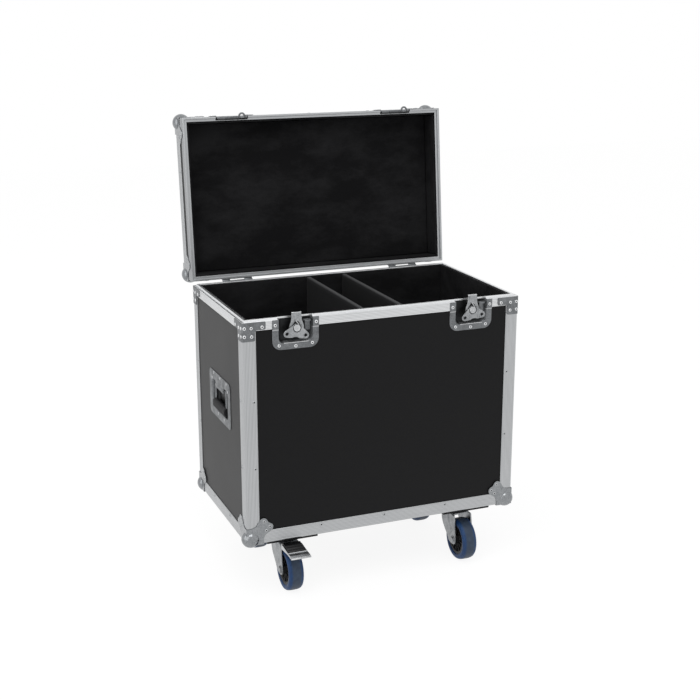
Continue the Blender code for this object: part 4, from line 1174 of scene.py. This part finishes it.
def makeHook(name, side):
    h = hook
    front, hub, cut, sheet = -halfY - h["stand"], closing - latch["hubDrop"], h["footCut"], case["sheet"]
    top, foot = closing + h["top"], closing - h["foot"]
    neck, shoulder = closing + h["neck"], closing - h["shoulder"]
    wide, narrow = h["footHalf"], h["half"] - h["taper"]
    outline = softened([(-wide, foot + cut), (-wide + cut, foot), (wide - cut, foot), (wide, foot + cut),
                        (wide, shoulder), (h["half"], neck), (narrow, top), (-narrow, top),
                        (-h["half"], neck), (-wide, shoulder)], h["soft"], 5)
    plate = formed("plate", addPrism, [(a, min(b, top)) for a, b in outline], front, front + sheet, "y")
    slot = (arcPoints(0, hub, h["slot"], 180, 360, 12)
            + arcPoints(0, hub + h["slotTop"], h["slot"] - 0.002, 0, 180, 12))
    pierce(plate, [slot], front)
    bevelled(plate, 0.0004, 2, 40)
    work = bmesh.new()
    ribLine = ((0.0062, top - 0.0055), (0.0072, closing - 0.004), (0.0122, closing - 0.014),
               (0.0128, closing - 0.024))
    for way in (-1, 1):
        # a pressed rib down each leg
        addTube(work, [(way * a, front + 0.0002, b) for a, b in ribLine], h["rib"], 8)
    thing = joined(f"shown_latch_hook_{name}", [plate, meshThing("ribs", work)])
    aside = Matrix.Translation((side * case["latchX"], 0, 0))
    thing.data.transform(aside)
    dressed(thing, "hook_steel", f"latch_hook_{name}", toFrame)
    # the lip at the hook's top, with its rolled edge, which carries a painted highlight
    lip = bevelled(formed("lip", addBox, -narrow, narrow, front + 0.0002, front + h["lip"], top - sheet, top),
                   0.0005, 3, 50)
    line = [(way * narrow, front + 0.0008, top - h["lipRoll"]) for way in (-1, 1)]
    roll = bevelled(formed("roll", addTube, line, h["lipRoll"], 16), 0.0004, 2, 60)
    edge = joined(f"latch_hook_lip_{name}", [lip, roll])
    highlighted(edge)
    added(edge, "bright_steel", bodyOf[f"latch_hook_{name}"], toFrame @ aside)


for side, name in ((-1, "left"), (1, "right")):
    makeLatchDish(f"latch_dish_{name}", side * case["latchX"], caseDish, -1, toFrame)
    makeLatchDish(f"lid_latch_dish_{name}", side * case["latchX"], lidDish, 1, openLid)
    makeWing(name, side)
    makeHook(name, side)
print("latches made")


# Side handles: a pressed dish, a strap over a steel bail, and a ribbed rubber hold

handle = {"plateHalf": 0.081, "plateTop": 0.168, "plateLow": 0.2755, "plateRound": 0.012, "mouthHalf": 0.0605,
          "mouthTop": 0.190, "mouthLow": 0.2565, "mouthRound": 0.010, "slope": 0.003, "face": 0.0003,
          "floor": 0.0114, "strapHalf": 0.032, "strapHigh": 0.180, "strapLow": 0.203, "bailDrop": 0.1965,
          "bailInset": 0.0048, "bailRadius": 0.0033, "bailHalf": 0.041, "bailBend": 0.007, "holdDrop": 0.2430,
          "holdInset": 0.0024, "holdDepth": 0.015, "holdHeight": 0.022, "holdHalf": 0.045,
          "holdRound": 0.0066, "holdSteps": 80, "holdEnd": 0.004, "ribFrom": 0.006, "ribPitch": 0.0045,
          "ribDepth": 0.0008}


def makeHandleDish(name, side):
    h = handle
    face, floor, slope, middle = h["face"], h["floor"], h["slope"], case["gripY"]
    rows = [(h["plateHalf"], h["plateTop"], h["plateLow"], h["plateRound"], face + 0.0004),
            (h["plateHalf"] - 0.0004, h["plateTop"] + 0.0004, h["plateLow"] - 0.0004, h["plateRound"], face)]
    # a low bead round the mouth, then the sloping wall and the floor
    for out, depth in ((0.0034, face), (0.0020, face - 0.0004), (0.0010, face - 0.0001),
                       (0.0002, face + 0.0010), (-slope * 0.4, floor * 0.45), (-slope * 0.8, floor - 0.0020),
                       (-slope - 0.0006, floor - 0.0005), (-slope - 0.0024, floor)):
        rows.append((h["mouthHalf"] + out, h["mouthTop"] - out, h["mouthLow"] + out,
                     h["mouthRound"] + min(out, 0), depth))
    dish = pressed([[spot("x", y, z, -halfX + depth) for y, z in
                     roundedBox(middle - half, middle + half, closing - low, closing - top, radius, 10)]
                    for half, top, low, radius, depth in rows], 0)
    # the strap, with the half round channel that holds the bail
    y0, y1, axis = middle - h["strapHalf"], middle + h["strapHalf"], closing - h["bailDrop"]
    outline = roundedBox(y0, y1, closing - h["strapLow"], closing - h["strapHigh"], 0.003, 5)
    strap = formed("strap", addPrism, outline, -halfX + face - 0.0004, -halfX + face + 0.0008, "x")
    bevelled(strap, 0.0003)
    line = [(-halfX + 0.0014, y0 + 0.001, axis), (-halfX + 0.0014, y1 - 0.001, axis)]
    channel = bevelled(formed("channel", addTube, line, 0.0040, 20, 0.7), 0.0004, 2, 60)
    thing = joined(f"shown_handle_dish_{name}", [dish, strap, channel], 45)
    # painted shade: the dish is darkened towards its floor
    markRecessShade(thing, -halfX + 0.0015, -halfX + floor - 0.001, 0)
    if side > 0:
        mirrorMesh(thing, -1)
    dressed(thing, "fitting_steel", f"handle_dish_{name}", toFrame)


def makeHold(name, side):
    h = handle
    half, deep, high = h["holdHalf"], h["holdDepth"] / 2, h["holdHeight"] / 2
    centre, middle = closing - h["holdDrop"], -halfX + h["holdInset"]
    outline = roundedBox(-deep, deep, -high, high, h["holdRound"], 6)
    work = bmesh.new()
    rings = []
    for k in range(h["holdSteps"] + 1):
        # a little fuller in the middle, and drawn in over the last few millimetres
        run = -half + 2 * half * k / h["holdSteps"]
        end = min(1.0, (half - abs(run)) / h["holdEnd"])
        swell = ((0.93 + 0.07 * math.cos(run / half * math.pi / 2))
                 * (0.80 + 0.20 * math.sin(end * math.pi / 2)))
        rings.append([(Vector((middle + a * swell, case["gripY"] + run, centre + b * swell)), run + half,
                       Vector((-a, 0, -b)).normalized()) for a, b in outline])
    addStrip(work, stripLayers(work), rings)
    hold = meshThing(f"shown_handle_grip_{name}", work, looks["grip_black"])
    ribbed(hold, h["ribPitch"], h["ribDepth"], h["ribFrom"], 2 * half - h["ribFrom"])
    x, axis = -halfX + h["bailInset"], closing - h["bailDrop"]
    near, far, bend = case["gripY"] - h["bailHalf"], case["gripY"] + h["bailHalf"], h["bailBend"]
    line = ([(near, centre)] + arcPoints(near + bend, axis - bend, bend, 180, 90, 8)
            + arcPoints(far - bend, axis - bend, bend, 90, 0, 8) + [(far, centre)])
    bail = formed(f"handle_bail_{name}", addTube, [(x, a, b) for a, b in line], h["bailRadius"], 16)
    for thing in (hold, bail):
        if side > 0:
            mirrorMesh(thing, -1)
    dressed(hold, "grip_black", f"handle_grip_{name}", toFrame)
    added(bail, "fitting_steel", bodyOf[f"handle_grip_{name}"], toFrame)


for side, name in ((-1, "left"), (1, "right")):
    makeHandleDish(name, side)
    makeHold(name, side)
print("handles made")


# Castors: plates bolted to the boards, pressed forks, wheels and foot brakes

castor = {"plateX": 0.0525, "plateY": 0.0425, "plateRound": 0.008, "plateThick": 0.003, "seat": 0.0003,
          "boltX": 0.040, "boltY": 0.030, "boltRadius": 0.0066, "boltHigh": 0.0048, "race": 0.024,
          "raceHigh": 0.005, "head": 0.029, "headHigh": 0.005, "nut": 0.0098, "nutHigh": 0.0036,
          "kingpin": 0.0062, "crownThick": 0.003, "legInner": 0.0205, "legThick": 0.003, "legFrom": 0.010,
          "bend": 0.0050, "crownBack": 0.029, "crownFront": 0.036, "setBack": 0.005,
          "waist": (-0.0420, 0.0300), "nutSide": 0.0078, "nutOut": 0.0035, "axle": 0.0040, "rib": 0.0065,
          "crease": 0.0005, "gap": 0.0003,
          "washer": ((0, -0.0012), (0.0082, -0.0012), (0.0084, -0.0009), (0.0084, 0.0002), (0, 0.0002)),
          "axleWasher": ((0, 0), (0.0098, 0), (0.0098, 0.0008), (0.0094, 0.0011), (0, 0.0011)),
          "ribLine": ((-0.0030, -0.0090), (-0.0070, -0.0230), (-0.0150, -0.0370), (-0.0235, -0.0490)),
          "legLine": ((-0.0470, 0.0060), (-0.0460, -0.0050), (-0.0410, -0.0100), (-0.0330, -0.0120),
                      (-0.0200, -0.0120), (-0.0110, -0.0090), (-0.0020, 0.0020), (0.0100, 0.0130),
                      (0.0200, 0.0220), (0.0270, 0.0340), (0.0290, 0.0450))}
wheel = {"steps": 72, "tyreSteps": 96, "ribs": 12, "rib": (0.0080, 0.0138, -0.0009, 0.0009, 0.0112, 0.0312),
         "core": ((0.0043, 0.0190), (0.0100, 0.0190), (0.0110, 0.0184), (0.0118, 0.0120), (0.0140, 0.0096),
                  (0.0260, 0.0086), (0.0290, 0.0110), (0.0310, 0.0146), (0.0350, 0.0153), (0.0364, 0.0153)),
         "tyre": ((0.0366, 0.0152), (0.0376, 0.0166), (0.0400, 0.0176), (0.0435, 0.0179), (0.0462, 0.0170),
                  (0.0480, 0.0150), (0.0490, 0.0125), (0.0496, 0.0100), (0.04985, 0.0078), (0.04998, 0.0040),
                  (0.0500, 0.0)),
         "treadHalf": 0.0125, "treadFrom": 0.047, "treadFade": 0.004}
pedal = {"half": 0.023, "neckHalf": 0.0202, "neckEnd": -0.0395, "side": 0.0022, "bead": 0.0013,
         "line": ((-0.0225, 0.0271), (-0.0360, 0.0250), (-0.0430, 0.0240), (-0.0560, 0.0225),
                  (-0.0810, 0.0205), (-0.1000, 0.0208), (-0.1120, 0.0218), (-0.1140, 0.0195),
                  (-0.1125, 0.0175), (-0.1000, 0.0160), (-0.0820, 0.0152), (-0.0560, 0.0122),
                  (-0.0390, 0.0128), (-0.0355, 0.0205), (-0.0225, 0.0205)),
         "hollow": ((-0.1085, 0.0240), (-0.1060, 0.0184), (-0.0820, 0.0170), (-0.0560, 0.0142),
                    (-0.0445, 0.0146), (-0.0445, 0.0290)),
         "beads": ((-0.0885, 0.0150), (-0.1105, 0.0178)),
         "padFrom": -0.0860, "padTo": -0.0420, "padHalf": 0.0205, "padSteps": 48, "padSunk": 0.0006,
         "ridge": 0.0110, "ridgeHigh": 0.0032, "ridgeLift": 0.0008,
         "padFace": {-0.0860: 0.0154, -0.0820: 0.0152, -0.0560: 0.0122, -0.0420: 0.0127},
         "padUnder": ((-0.0560, 0.0128), (-0.0820, 0.0158), (-0.0860, 0.0160))}
castorPlaces = {name: (sx * case["castorX"], sy * case["castorY"]) for name, (sx, sy) in corners.items()}
crownTop = (case["castorTop"] - castor["seat"] - castor["plateThick"] - castor["raceHigh"] - castor["gap"]
            - castor["headHigh"])


def makeCastorPlate(name, x, y):
    c = castor
    top = case["castorTop"] - c["seat"]
    under, crown = top - c["plateThick"], crownTop - c["crownThick"] - c["gap"]
    outline = roundedBox(x - c["plateX"], x + c["plateX"], y - c["plateY"], y + c["plateY"], c["plateRound"])
    plate = bevelled(formed("plate", addPrism, outline, under, top, "z"), 0.0006)
    low, foot = under - c["raceHigh"], crown - c["nutHigh"]
    pin, wide, side = c["kingpin"], c["race"], c["nut"]
    race = formed("race", addTurned,
                  ((0, under + 0.001), (wide + 0.0020, under + 0.001), (wide + 0.0016, under - 0.0004),
                   (wide, under - 0.0012), (wide, low + 0.0012), (wide - 0.0012, low), (pin, low),
                   (pin, foot - 0.002), (pin - 0.0008, foot - 0.0026), (0, foot - 0.0026)),
                  (x, y, 0), "z", 48)
    nut = formed("nut", addTurned, ((pin - 0.0002, foot), (side - 0.0006, foot), (side, foot + 0.0006),
                                    (side, crown), (pin - 0.0002, crown)), (x, y, 0), "z", 6)
    things = [plate, race, bevelled(nut, 0.0003)]
    work = bmesh.new()
    high, side = c["boltHigh"], c["boltRadius"]
    for i in (-1, 1):
        for j in (-1, 1):
            # a hexagon nut on a washer, with the end of the bolt in it
            at = (x + i * c["boltX"], y + j * c["boltY"], under)
            addTurned(work, c["washer"], at, "z", 24)
            addTurned(work, ((0, -high), (side - 0.0006, -high), (side, -high + 0.0008), (side, -0.0011),
                             (0, -0.0011)), at, "z", 6, 0.2 * i)
            addTurned(work, ((0, -high - 0.0016), (0.0028, -high - 0.0016), (0.0034, -high - 0.0010),
                             (0.0034, -0.0020), (0, -0.0020)), at, "z", 16)
    things.append(meshThing("bolts", work))
    dressed(joined(f"shown_castor_plate_{name}", things), "zinc_fork", f"castor_plate_{name}", toFrame)


def makeFork(name, x, y):
    c = castor
    top, inner, out, low = crownTop, c["legInner"], c["legInner"] + c["legThick"], c["legFrom"]
    r, thick, pin, hub = c["bend"], c["crownThick"], c["kingpin"], case["wheelRadius"]
    section = ([(-out, low)] + arcPoints(-out + r, top - r, r, 180, 90, 8)
               + arcPoints(out - r, top - r, r, 90, 0, 8) + [(out, low), (inner, low)]
               + arcPoints(inner - r + thick, top - r, r - thick, 0, 90, 6)
               + arcPoints(-inner + r - thick, top - r, r - thick, 90, 180, 6) + [(-inner, low)])
    fork = formed("fork", addPrism, [(x + a, b) for a, b in section], y - 0.070, y + 0.040, "y")
    outline = ([(-c["crownFront"], top), (c["waist"][0], hub + c["waist"][1])]
               + [(a, hub + b) for a, b in c["legLine"]] + [(c["crownBack"], top)])
    # the outline runs on above the crown, so that the crown's flat top isn't cut
    line = [(y + a, b + (0.002 if b > top - 0.0005 else 0)) for a, b in softened(outline, 0.0045, 4)]
    carve(fork, formed("outline", addPrism, line, x - out - 0.003, x + out + 0.003, "x"), "INTERSECT")
    tools = bmesh.new()
    addBox(tools, x - inner, x + inner, y - 0.075, y - c["crownFront"] + c["setBack"], 0.005, top + 0.005)
    hole = pin + 0.0005
    addTurned(tools, ((0, -0.02), (hole, -0.02), (hole, 0.02), (0, 0.02)), (x, y, top), "z", 32)
    carve(fork, meshThing("cutter", tools))
    bevelled(fork, c["crease"], 2, 40)
    head, high = c["head"], c["headHigh"]
    cap = formed("head", addTurned,
                 ((pin + 0.0006, -0.0004), (head - 0.0045, -0.0004), (head - 0.0020, 0.0002),
                  (head - 0.0004, 0.0016), (head, 0.0026), (head - 0.0004, high - 0.0012),
                  (head - 0.0018, high - 0.0002), (head - 0.0040, high), (pin + 0.0006, high)),
                 (x, y, top), "z", 48)
    axle = (x, y - case["castorOffset"], hub)
    side, far = c["nutSide"], c["nutOut"]
    work = bmesh.new()
    for way in (-1, 1):
        # hexagon heads on washers
        at = (axle[0] + way * out, axle[1], axle[2])
        addTurned(work, [(wide, way * along) for wide, along in c["axleWasher"]], at, "x", 32)
        addTurned(work, ((0, 0), (side, 0), (side, way * (far - 0.0006)), (side - 0.0008, way * far),
                         (0, way * far)), at, "x", 6, 0.2)
    addTurned(work, ((0, -out), (c["axle"], -out), (c["axle"], out), (0, out)), axle, "x", 24)
    pins = meshThing("axle", work)
    work = bmesh.new()
    for way in (-1, 1):
        # the pressed rib down each leg
        line = [(x + way * (out - 0.0001), y + a, top + b) for a, b in c["ribLine"]]
        addTube(work, line, c["rib"], 16, 0.2)
    thing = joined(f"shown_castor_fork_{name}", [fork, cap, pins, meshThing("ribs", work)])
    dressed(thing, "zinc_fork", f"castor_fork_{name}", toFrame)


def makeWheel(name, x, y):
    w = wheel
    axle = Vector((x, y - case["castorOffset"], case["wheelRadius"]))
    profile = list(w["core"]) + [(radius, -along) for radius, along in reversed(w["core"])]
    core = formed("core", addTurned, profile, axle, "x", w["steps"])
    near, far, y0, y1, z0, z1 = w["rib"]
    work = bmesh.new()
    for k in range(w["ribs"]):
        turn = Matrix.Rotation(2 * math.pi * k / w["ribs"], 3, "X")
        for way in (-1, 1):
            for vert in addBox(work, way * near, way * far, y0, y1, z0, z1):
                vert.co = axle + turn @ vert.co
    ribs = bevelled(meshThing("ribs", work), 0.0004)
    dressed(joined(f"shown_wheel_core_{name}", [core, ribs], 35), "wheel_core", f"wheel_core_{name}", toFrame)
    half = list(w["tyre"])
    work = bmesh.new()
    tread = work.verts.layers.float.new("tread")
    profile = half + [(radius, -along) for radius, along in reversed(half[:-1])]
    addTurned(work, profile, axle, "x", w["tyreSteps"])
    for vert in work.verts:
        reach = math.hypot(vert.co.y - axle[1], vert.co.z - axle[2])
        share = (w["treadHalf"] - abs(vert.co.x - axle[0])) / w["treadFade"]
        vert[tread] = min(1.0, max(0.0, share)) if reach > w["treadFrom"] else 0.0
    tyre = meshThing(f"shown_wheel_tyre_{name}", work, None, None, 60)
    dressed(tyre, "tyre_blue", f"wheel_tyre_{name}", toFrame)


def makePedal(name, x, y):
    p = pedal
    level, half, wide = case["castorTop"], p["half"], p["half"] - 0.0006
    outline = softened([(y + a, level - below) for a, below in p["line"]], 0.0030, 3)
    body = formed("body", addPrism, outline, x - half, x + half, "x")
    tools = bmesh.new()
    for way in (-1, 1):
        addBox(tools, *sorted((x + way * p["neckHalf"], x + way * 0.040)), y + p["neckEnd"], y + 0.02, 0.02,
               level + 0.01)
    # the hollow underside, between its side walls
    addPrism(tools, [(y + a, level - below) for a, below in p["hollow"]], x - half + p["side"],
             x + half - p["side"], "x")
    carve(body, meshThing("cutter", tools))
    bevelled(body, 0.0005, 2, 35)
    work = bmesh.new()
    for a, below in p["beads"]:
        # pressed beads across the flared tip
        addTube(work, [(x + way * wide, y + a, level - below) for way in (-1, 1)], p["bead"], 10)
    thing = joined(f"shown_brake_pedal_{name}", [body, meshThing("beads", work)])
    dressed(thing, "bright_steel", f"brake_pedal_{name}", toFrame)
    # ribbed rubber tread on the pedal
    top = p["padFace"]
    keys = sorted(top)
    upper = []
    for k in range(p["padSteps"] + 1):
        a = p["padFrom"] + (p["padTo"] - p["padFrom"]) * k / p["padSteps"]
        low = max(key for key in keys if key <= a + 1e-9)
        high = min((key for key in keys if key > a), default=keys[-1])
        share = 0 if high == low else (a - low) / (high - low)
        face = top[low] + (top[high] - top[low]) * share
        wave = 0.5 - 0.5 * math.cos(2 * math.pi * (a - p["padFrom"]) / p["ridge"])
        upper.append((a, face - p["ridgeLift"] - p["ridgeHigh"] * wave ** 0.7))
    lower = [(p["padTo"], top[p["padTo"]] + p["padSunk"])] + list(p["padUnder"])
    pad = formed(f"pedal_rubber_{name}", addPrism, [(y + a, level - below) for a, below in upper + lower],
                 x - p["padHalf"], x + p["padHalf"], "x")
    added(bevelled(pad, 0.0004, 2, 50), "wheel_core", bodyOf[f"brake_pedal_{name}"], toFrame)


for name, (x, y) in castorPlaces.items():
    makeCastorPlate(name, x, y)
    makeFork(name, x, y)
    makeWheel(name, x, y)
    if f"brake_pedal_{name}" in slotOf:
        makePedal(name, x, y)
print("castors made")


# Foam linings and felt dividers: soft slabs with rounded edges and an uneven face

foam = {"caseOuter": 0.0129, "caseThick": 0.006, "caseLow": 0.1491, "caseRise": 0.002, "lidOuter": 0.0109,
        "lidThick": 0.005, "lidLow": 0.006, "lidHigh": 0.0609, "lidBase": 0.008, "round": 0.0017,
        "cell": 0.012, "sag": 0.0011, "waves": 9.0, "fine": 70.0, "gap": 0.0002}
divider = {"spread": 0.047, "thick": 0.0115, "rise": 0.0015, "round": 0.0034, "cell": 0.012, "sag": 0.0006,
           "gap": 0.0003, "lean": {"left": 0.0006, "right": -0.0005}}


def addSlab(work, low, high, radius, cell, sag, seed):
    # a soft block: fine cells, rounded edges, and faces that dip inwards by an even noise
    slab = bmesh.new()
    addBox(slab, low[0], high[0], low[1], high[1], low[2], high[2])
    bmesh.ops.bevel(slab, geom=slab.edges[:], offset=radius, segments=4, profile=0.5, affect="EDGES")
    for axis in range(3):
        count = max(1, round((high[axis] - low[axis]) / cell))
        for i in range(1, count):
            at = [0, 0, 0]
            at[axis] = low[axis] + (high[axis] - low[axis]) * i / count
            normal = [0, 0, 0]
            normal[axis] = 1
            bmesh.ops.bisect_plane(slab, geom=slab.verts[:] + slab.edges[:] + slab.faces[:], plane_co=at,
                                   plane_no=normal, dist=0.00001)
    slab.normal_update()
    rise = slab.verts.layers.float.new("wearAndLight")
    for vert in slab.verts:
        wave = noise.noise(vert.co * foam["waves"] + Vector((seed * 3.7, seed, 0)))
        fine = noise.noise(vert.co * foam["fine"] + Vector((0, seed * 5.1, seed)))
        dip = sag * (0.5 + 0.5 * wave) + sag * 0.35 * (0.5 + 0.5 * fine)
        # painted light: points near the top edge are marked, and the felt paints them lighter
        top = (vert.co.z - (high[2] - radius * 1.2)) / (radius * 1.2)
        vert[rise] = min(1.0, max(0.0, top))
        vert.co -= vert.normal * dip
    mesh = bpy.data.meshes.new("slab")
    slab.to_mesh(mesh)
    slab.free()
    work.from_mesh(mesh)
    bpy.data.meshes.remove(mesh)


def addLining(work, outer, thick, base, low, high, baseLow):
    # four walls that butt at the corners, and the sheet between them
    f = foam
    x, y = halfX - outer, halfY - outer
    for k, (sx, sy) in enumerate(((-1, 0), (1, 0), (0, -1), (0, 1))):
        if sx:
            (x0, x1), (y0, y1) = sorted((sx * x, sx * (x - thick))), (-y + thick, y - thick)
        else:
            (x0, x1), (y0, y1) = (-x, x), sorted((sy * y, sy * (y - thick)))
        addSlab(work, (x0, y0, low), (x1, y1, high), f["round"], f["cell"], f["sag"], k + 1)
    addSlab(work, (-x + thick + f["gap"], -y + thick + f["gap"], baseLow),
            (x - thick - f["gap"], y - thick - f["gap"], baseLow + base), f["round"], f["cell"] * 1.2,
            f["sag"], 7)


def makeLinings():
    f = foam
    work = bmesh.new()
    addLining(work, f["caseOuter"], f["caseThick"], f["caseThick"], f["caseLow"], closing + f["caseRise"],
              f["caseLow"])
    lining = meshThing("case_foam", work, looks["foam"], toFrame, 60)
    work = bmesh.new()
    addLining(work, f["lidOuter"], f["lidThick"], f["lidBase"], closing + f["lidLow"], closing + f["lidHigh"],
              closing + f["lidHigh"] - f["lidBase"])
    lid = meshThing("lid_foam", work, looks["foam"], openLid, 60)
    enter(lining, bodyOf["case_lining"], ("case_lining",))
    enter(lid, bodyOf["lid_lining"], ("lid_lining",))


def makeDivider(name, side):
    d = divider
    end = halfY - foam["caseOuter"] - foam["caseThick"] - d["gap"]
    middle = side * d["spread"]
    work = bmesh.new()
    addSlab(work, (middle - d["thick"] / 2, -end, foam["caseLow"] + foam["caseThick"] + d["gap"]),
            (middle + d["thick"] / 2, end, closing + d["rise"]), d["round"], d["cell"], d["sag"], 11 + side)
    for vert in work.verts:
        # the boards lean a little, between foot and top
        share = (vert.co.z - foam["caseLow"]) / (closing - foam["caseLow"])
        vert.co.x += d["lean"][name] * share
    thing = meshThing(f"divider_felt_{name}", work, looks["divider_fabric"], toFrame, 60)
    enter(thing, bodyOf[f"divider_{name}"], (f"divider_{name}",))


makeLinings()
for side, name in ((-1, "left"), (1, "right")):
    makeDivider(name, side)
print("foam and felt made")


# Rivets: one run of the tree for each body, over points that carry their own direction

rivetPlaces = {
    "edge": 0.0233, "sunk": 0.0003, "upright": (0.1785, 0.3318), "long": (0.1757, 0.3305, 0.4853),
    "short": (0.128, 0.256),
    "brace": ((0.0045, 0.0125), (0.0196, 0.0133), (0.0440, 0.0125), (0.0043, 0.0306), (0.0203, 0.0316)),
    "corner": ((0.0400, 0.0525), (0.0532, 0.0395), (0.0450, 0.0305)),
    "caseDish": ((-0.0466, 0.012), (0.0466, 0.012), (-0.038, 0.0583), (0.038, 0.0583), (0, 0.0618)),
    "lidDish": ((-0.046, 0.012), (0.046, 0.012), (0, 0.032)),
    "handle": ((0.1315, 0.1737), (0.1803, 0.1737), (0.2288, 0.1724), (0.1237, 0.1893), (0.2437, 0.1882),
               (0.1539, 0.2645), (0.1985, 0.2624)),
    "hinge": (-0.026, 0.026), "hingeDrop": 0.0135, "hingeRise": 0.0119,
}


def rivetPoints():
    p = rivetPlaces
    proud, edge, sunk = case["plateProud"], p["edge"], p["sunk"]
    found = {}

    def add(body, place, facing, look="dull_rivet"):
        found.setdefault((body, look), []).append((Vector(place), Vector(facing)))

    def addAround(body, along, level, lift, look="dull_rivet"):
        # the same place on each upright edge's two faces, counted from the corner
        for sx, sy in corners.values():
            add(body, (sx * (halfX - along), sy * (halfY + lift), level), (0, sy, 0), look)
            add(body, (sx * (halfX + lift), sy * (halfY - along), level), (sx, 0, 0), look)

    for below in p["upright"]:
        addAround("case", edge, closing - below, 0)
    for run in p["long"]:
        for sy in (-1, 1):
            add("case", (-halfX + run, sy * halfY, case["bottom"] + edge), (0, sy, 0))
            add("lid", (-halfX + run, sy * halfY, lidTop - edge), (0, sy, 0))
    for run in p["short"]:
        for sx in (-1, 1):
            add("case", (sx * halfX, -halfY + run, case["bottom"] + edge), (sx, 0, 0))
            add("lid", (sx * halfX, -halfY + run, lidTop - edge), (sx, 0, 0))
    for along, below in p["brace"]:
        addAround("case", along, closing - below, proud, "rivet")
    for along, rise in p["corner"]:
        addAround("case", along, case["bottom"] + rise, proud)
        addAround("lid", along, lidTop - rise, proud)
    for side in (-1, 1):
        middle = side * case["latchX"]
        for body, way, rows in (("case", -1, p["caseDish"]), ("lid", 1, p["lidDish"])):
            for offset, height in rows:
                lift = proud if height < case["band"] else -sunk
                add(body, (middle + offset, -halfY - lift, closing + way * height), (0, -1, 0), "rivet")
        for along, below in p["handle"]:
            add("case", (side * (halfX - sunk), -halfY + along, closing - below), (side, 0, 0))
        for offset in p["hinge"]:
            middle, back = side * case["hingeX"], halfY + case["leafProud"]
            add("case", (middle + offset, back, closing - p["hingeDrop"]), (0, 1, 0))
            add("lid", (middle + offset, back, closing + p["hingeRise"]), (0, 1, 0))
    return found


def makeRivets():
    for (body, look), points in rivetPoints().items():
        work = bmesh.new()
        facing = work.verts.layers.float_vector.new("facing")
        for place, direction in points:
            work.verts.new(place)[facing] = direction
        thing = objectFrom(f"{body}_{look}s", work)
        runTree(thing, rivetTree, {"Radius": rivet["radius"], "Height": rivet["height"],
                                   "Sides": rivet["sides"], "Rings": rivet["rings"], "Material": looks[look]})
        work = bmesh.new()
        work.from_mesh(thing.data)
        bmesh.ops.recalc_face_normals(work, faces=work.faces)
        work.to_mesh(thing.data)
        work.free()
        thing.data.transform(toFrame if body == "case" else openLid)
        enter(thing, body)


makeRivets()
print("rivets made")


# Floor, light and camera

def plainRays(nodes, links):
    # 1 for a ray that the camera, a mirror or glass sends, and 0 for light on its way to the object
    rays = nodes.new("ShaderNodeLightPath")
    total = rays.outputs["Is Camera Ray"]
    for kind in ("Is Glossy Ray", "Is Transmission Ray"):
        plus = nodes.new("ShaderNodeMath")
        plus.operation = "MAXIMUM"
        links.new(total, plus.inputs[0])
        links.new(rays.outputs[kind], plus.inputs[1])
        total = plus.outputs[0]
    return total


def makeStage():
    stage = {"size": 14.0, "shade": 0.92, "shadow": 0.16, "white": 1.07}
    half = stage["size"] / 2
    mesh = bpy.data.meshes.new("floor")
    mesh.from_pydata([(-half, -half, 0), (half, -half, 0), (half, half, 0), (-half, half, 0)], [],
                     [(0, 1, 2, 3)])
    floor = placed("floor", mesh)
    material, shader = startMaterial("pale floor", (stage["shade"],) * 3, 0.9)
    nodes, links = material.node_tree.nodes, material.node_tree.links
    glow = addNode(material, "ShaderNodeEmission", Strength=stage["white"])
    mix = addNode(material, "ShaderNodeMixShader")
    amount = addNode(material, "ShaderNodeMath", operation="MULTIPLY")
    amount.inputs[1].default_value = 1 - stage["shadow"]
    wire(material, plainRays(nodes, links), amount.inputs[0])
    wire(material, amount.outputs[0], mix.inputs["Fac"])
    wire(material, shader.outputs[0], mix.inputs[1])
    wire(material, glow.outputs[0], mix.inputs[2])
    wire(material, mix.outputs[0], nodes["Material Output"].inputs["Surface"])
    mesh.materials.append(material)


def makeWorld():
    sky = {"light": 0.62, "shown": 1.0}
    world = bpy.data.worlds.new("studio")
    bpy.context.scene.world = world
    world.use_nodes = True
    nodes, links = world.node_tree.nodes, world.node_tree.links
    background = nodes["Background"]
    background.inputs["Color"].default_value = (1, 1, 1, 1)
    strength = nodes.new("ShaderNodeMix")
    strength.data_type = "FLOAT"
    strength.inputs["A"].default_value = sky["light"]
    strength.inputs["B"].default_value = sky["shown"]
    links.new(plainRays(nodes, links), strength.inputs["Factor"])
    links.new(strength.outputs["Result"], background.inputs["Strength"])


def aimed(name, source, place, target):
    # stands a lamp or a camera at a place, turned to its target
    thing = placed(name, source)
    thing.location = place
    thing.rotation_euler = (target - place).to_track_quat("-Z", "Y").to_euler()
    return thing


def makeLamps():
    # each lamp's place, target, size in metres and power in watts
    lamps = {"soft top": ((-0.6, -1.2, 3.2), (0, 0, 0.5), 2.4, 34),
             "left side": ((-4.4, -1.2, 1.6), (0, 0, 0.4), 4.5, 52)}
    for name, (place, target, size, power) in lamps.items():
        lamp = bpy.data.lights.new(name, "AREA")
        lamp.size = size
        lamp.energy = power
        aimed(name, lamp, Vector(place), Vector(target))


def makeCamera():
    view = {"place": (-1.0904, -2.6684, 1.3260), "target": (-0.0071, 0.0, 0.5042), "lens": 65.23,
            "sensor": 36.0, "far": 50.0}
    camera = bpy.data.cameras.new("camera")
    camera.lens = view["lens"]
    camera.sensor_width = view["sensor"]
    camera.clip_end = view["far"]
    bpy.context.scene.camera = aimed("camera", camera, toFrame @ Vector(view["place"]),
                                     toFrame @ Vector(view["target"]))


makeStage()
makeWorld()
makeLamps()
makeCamera()
bpy.context.scene.view_settings.view_transform = "Standard"
print("stage ready")
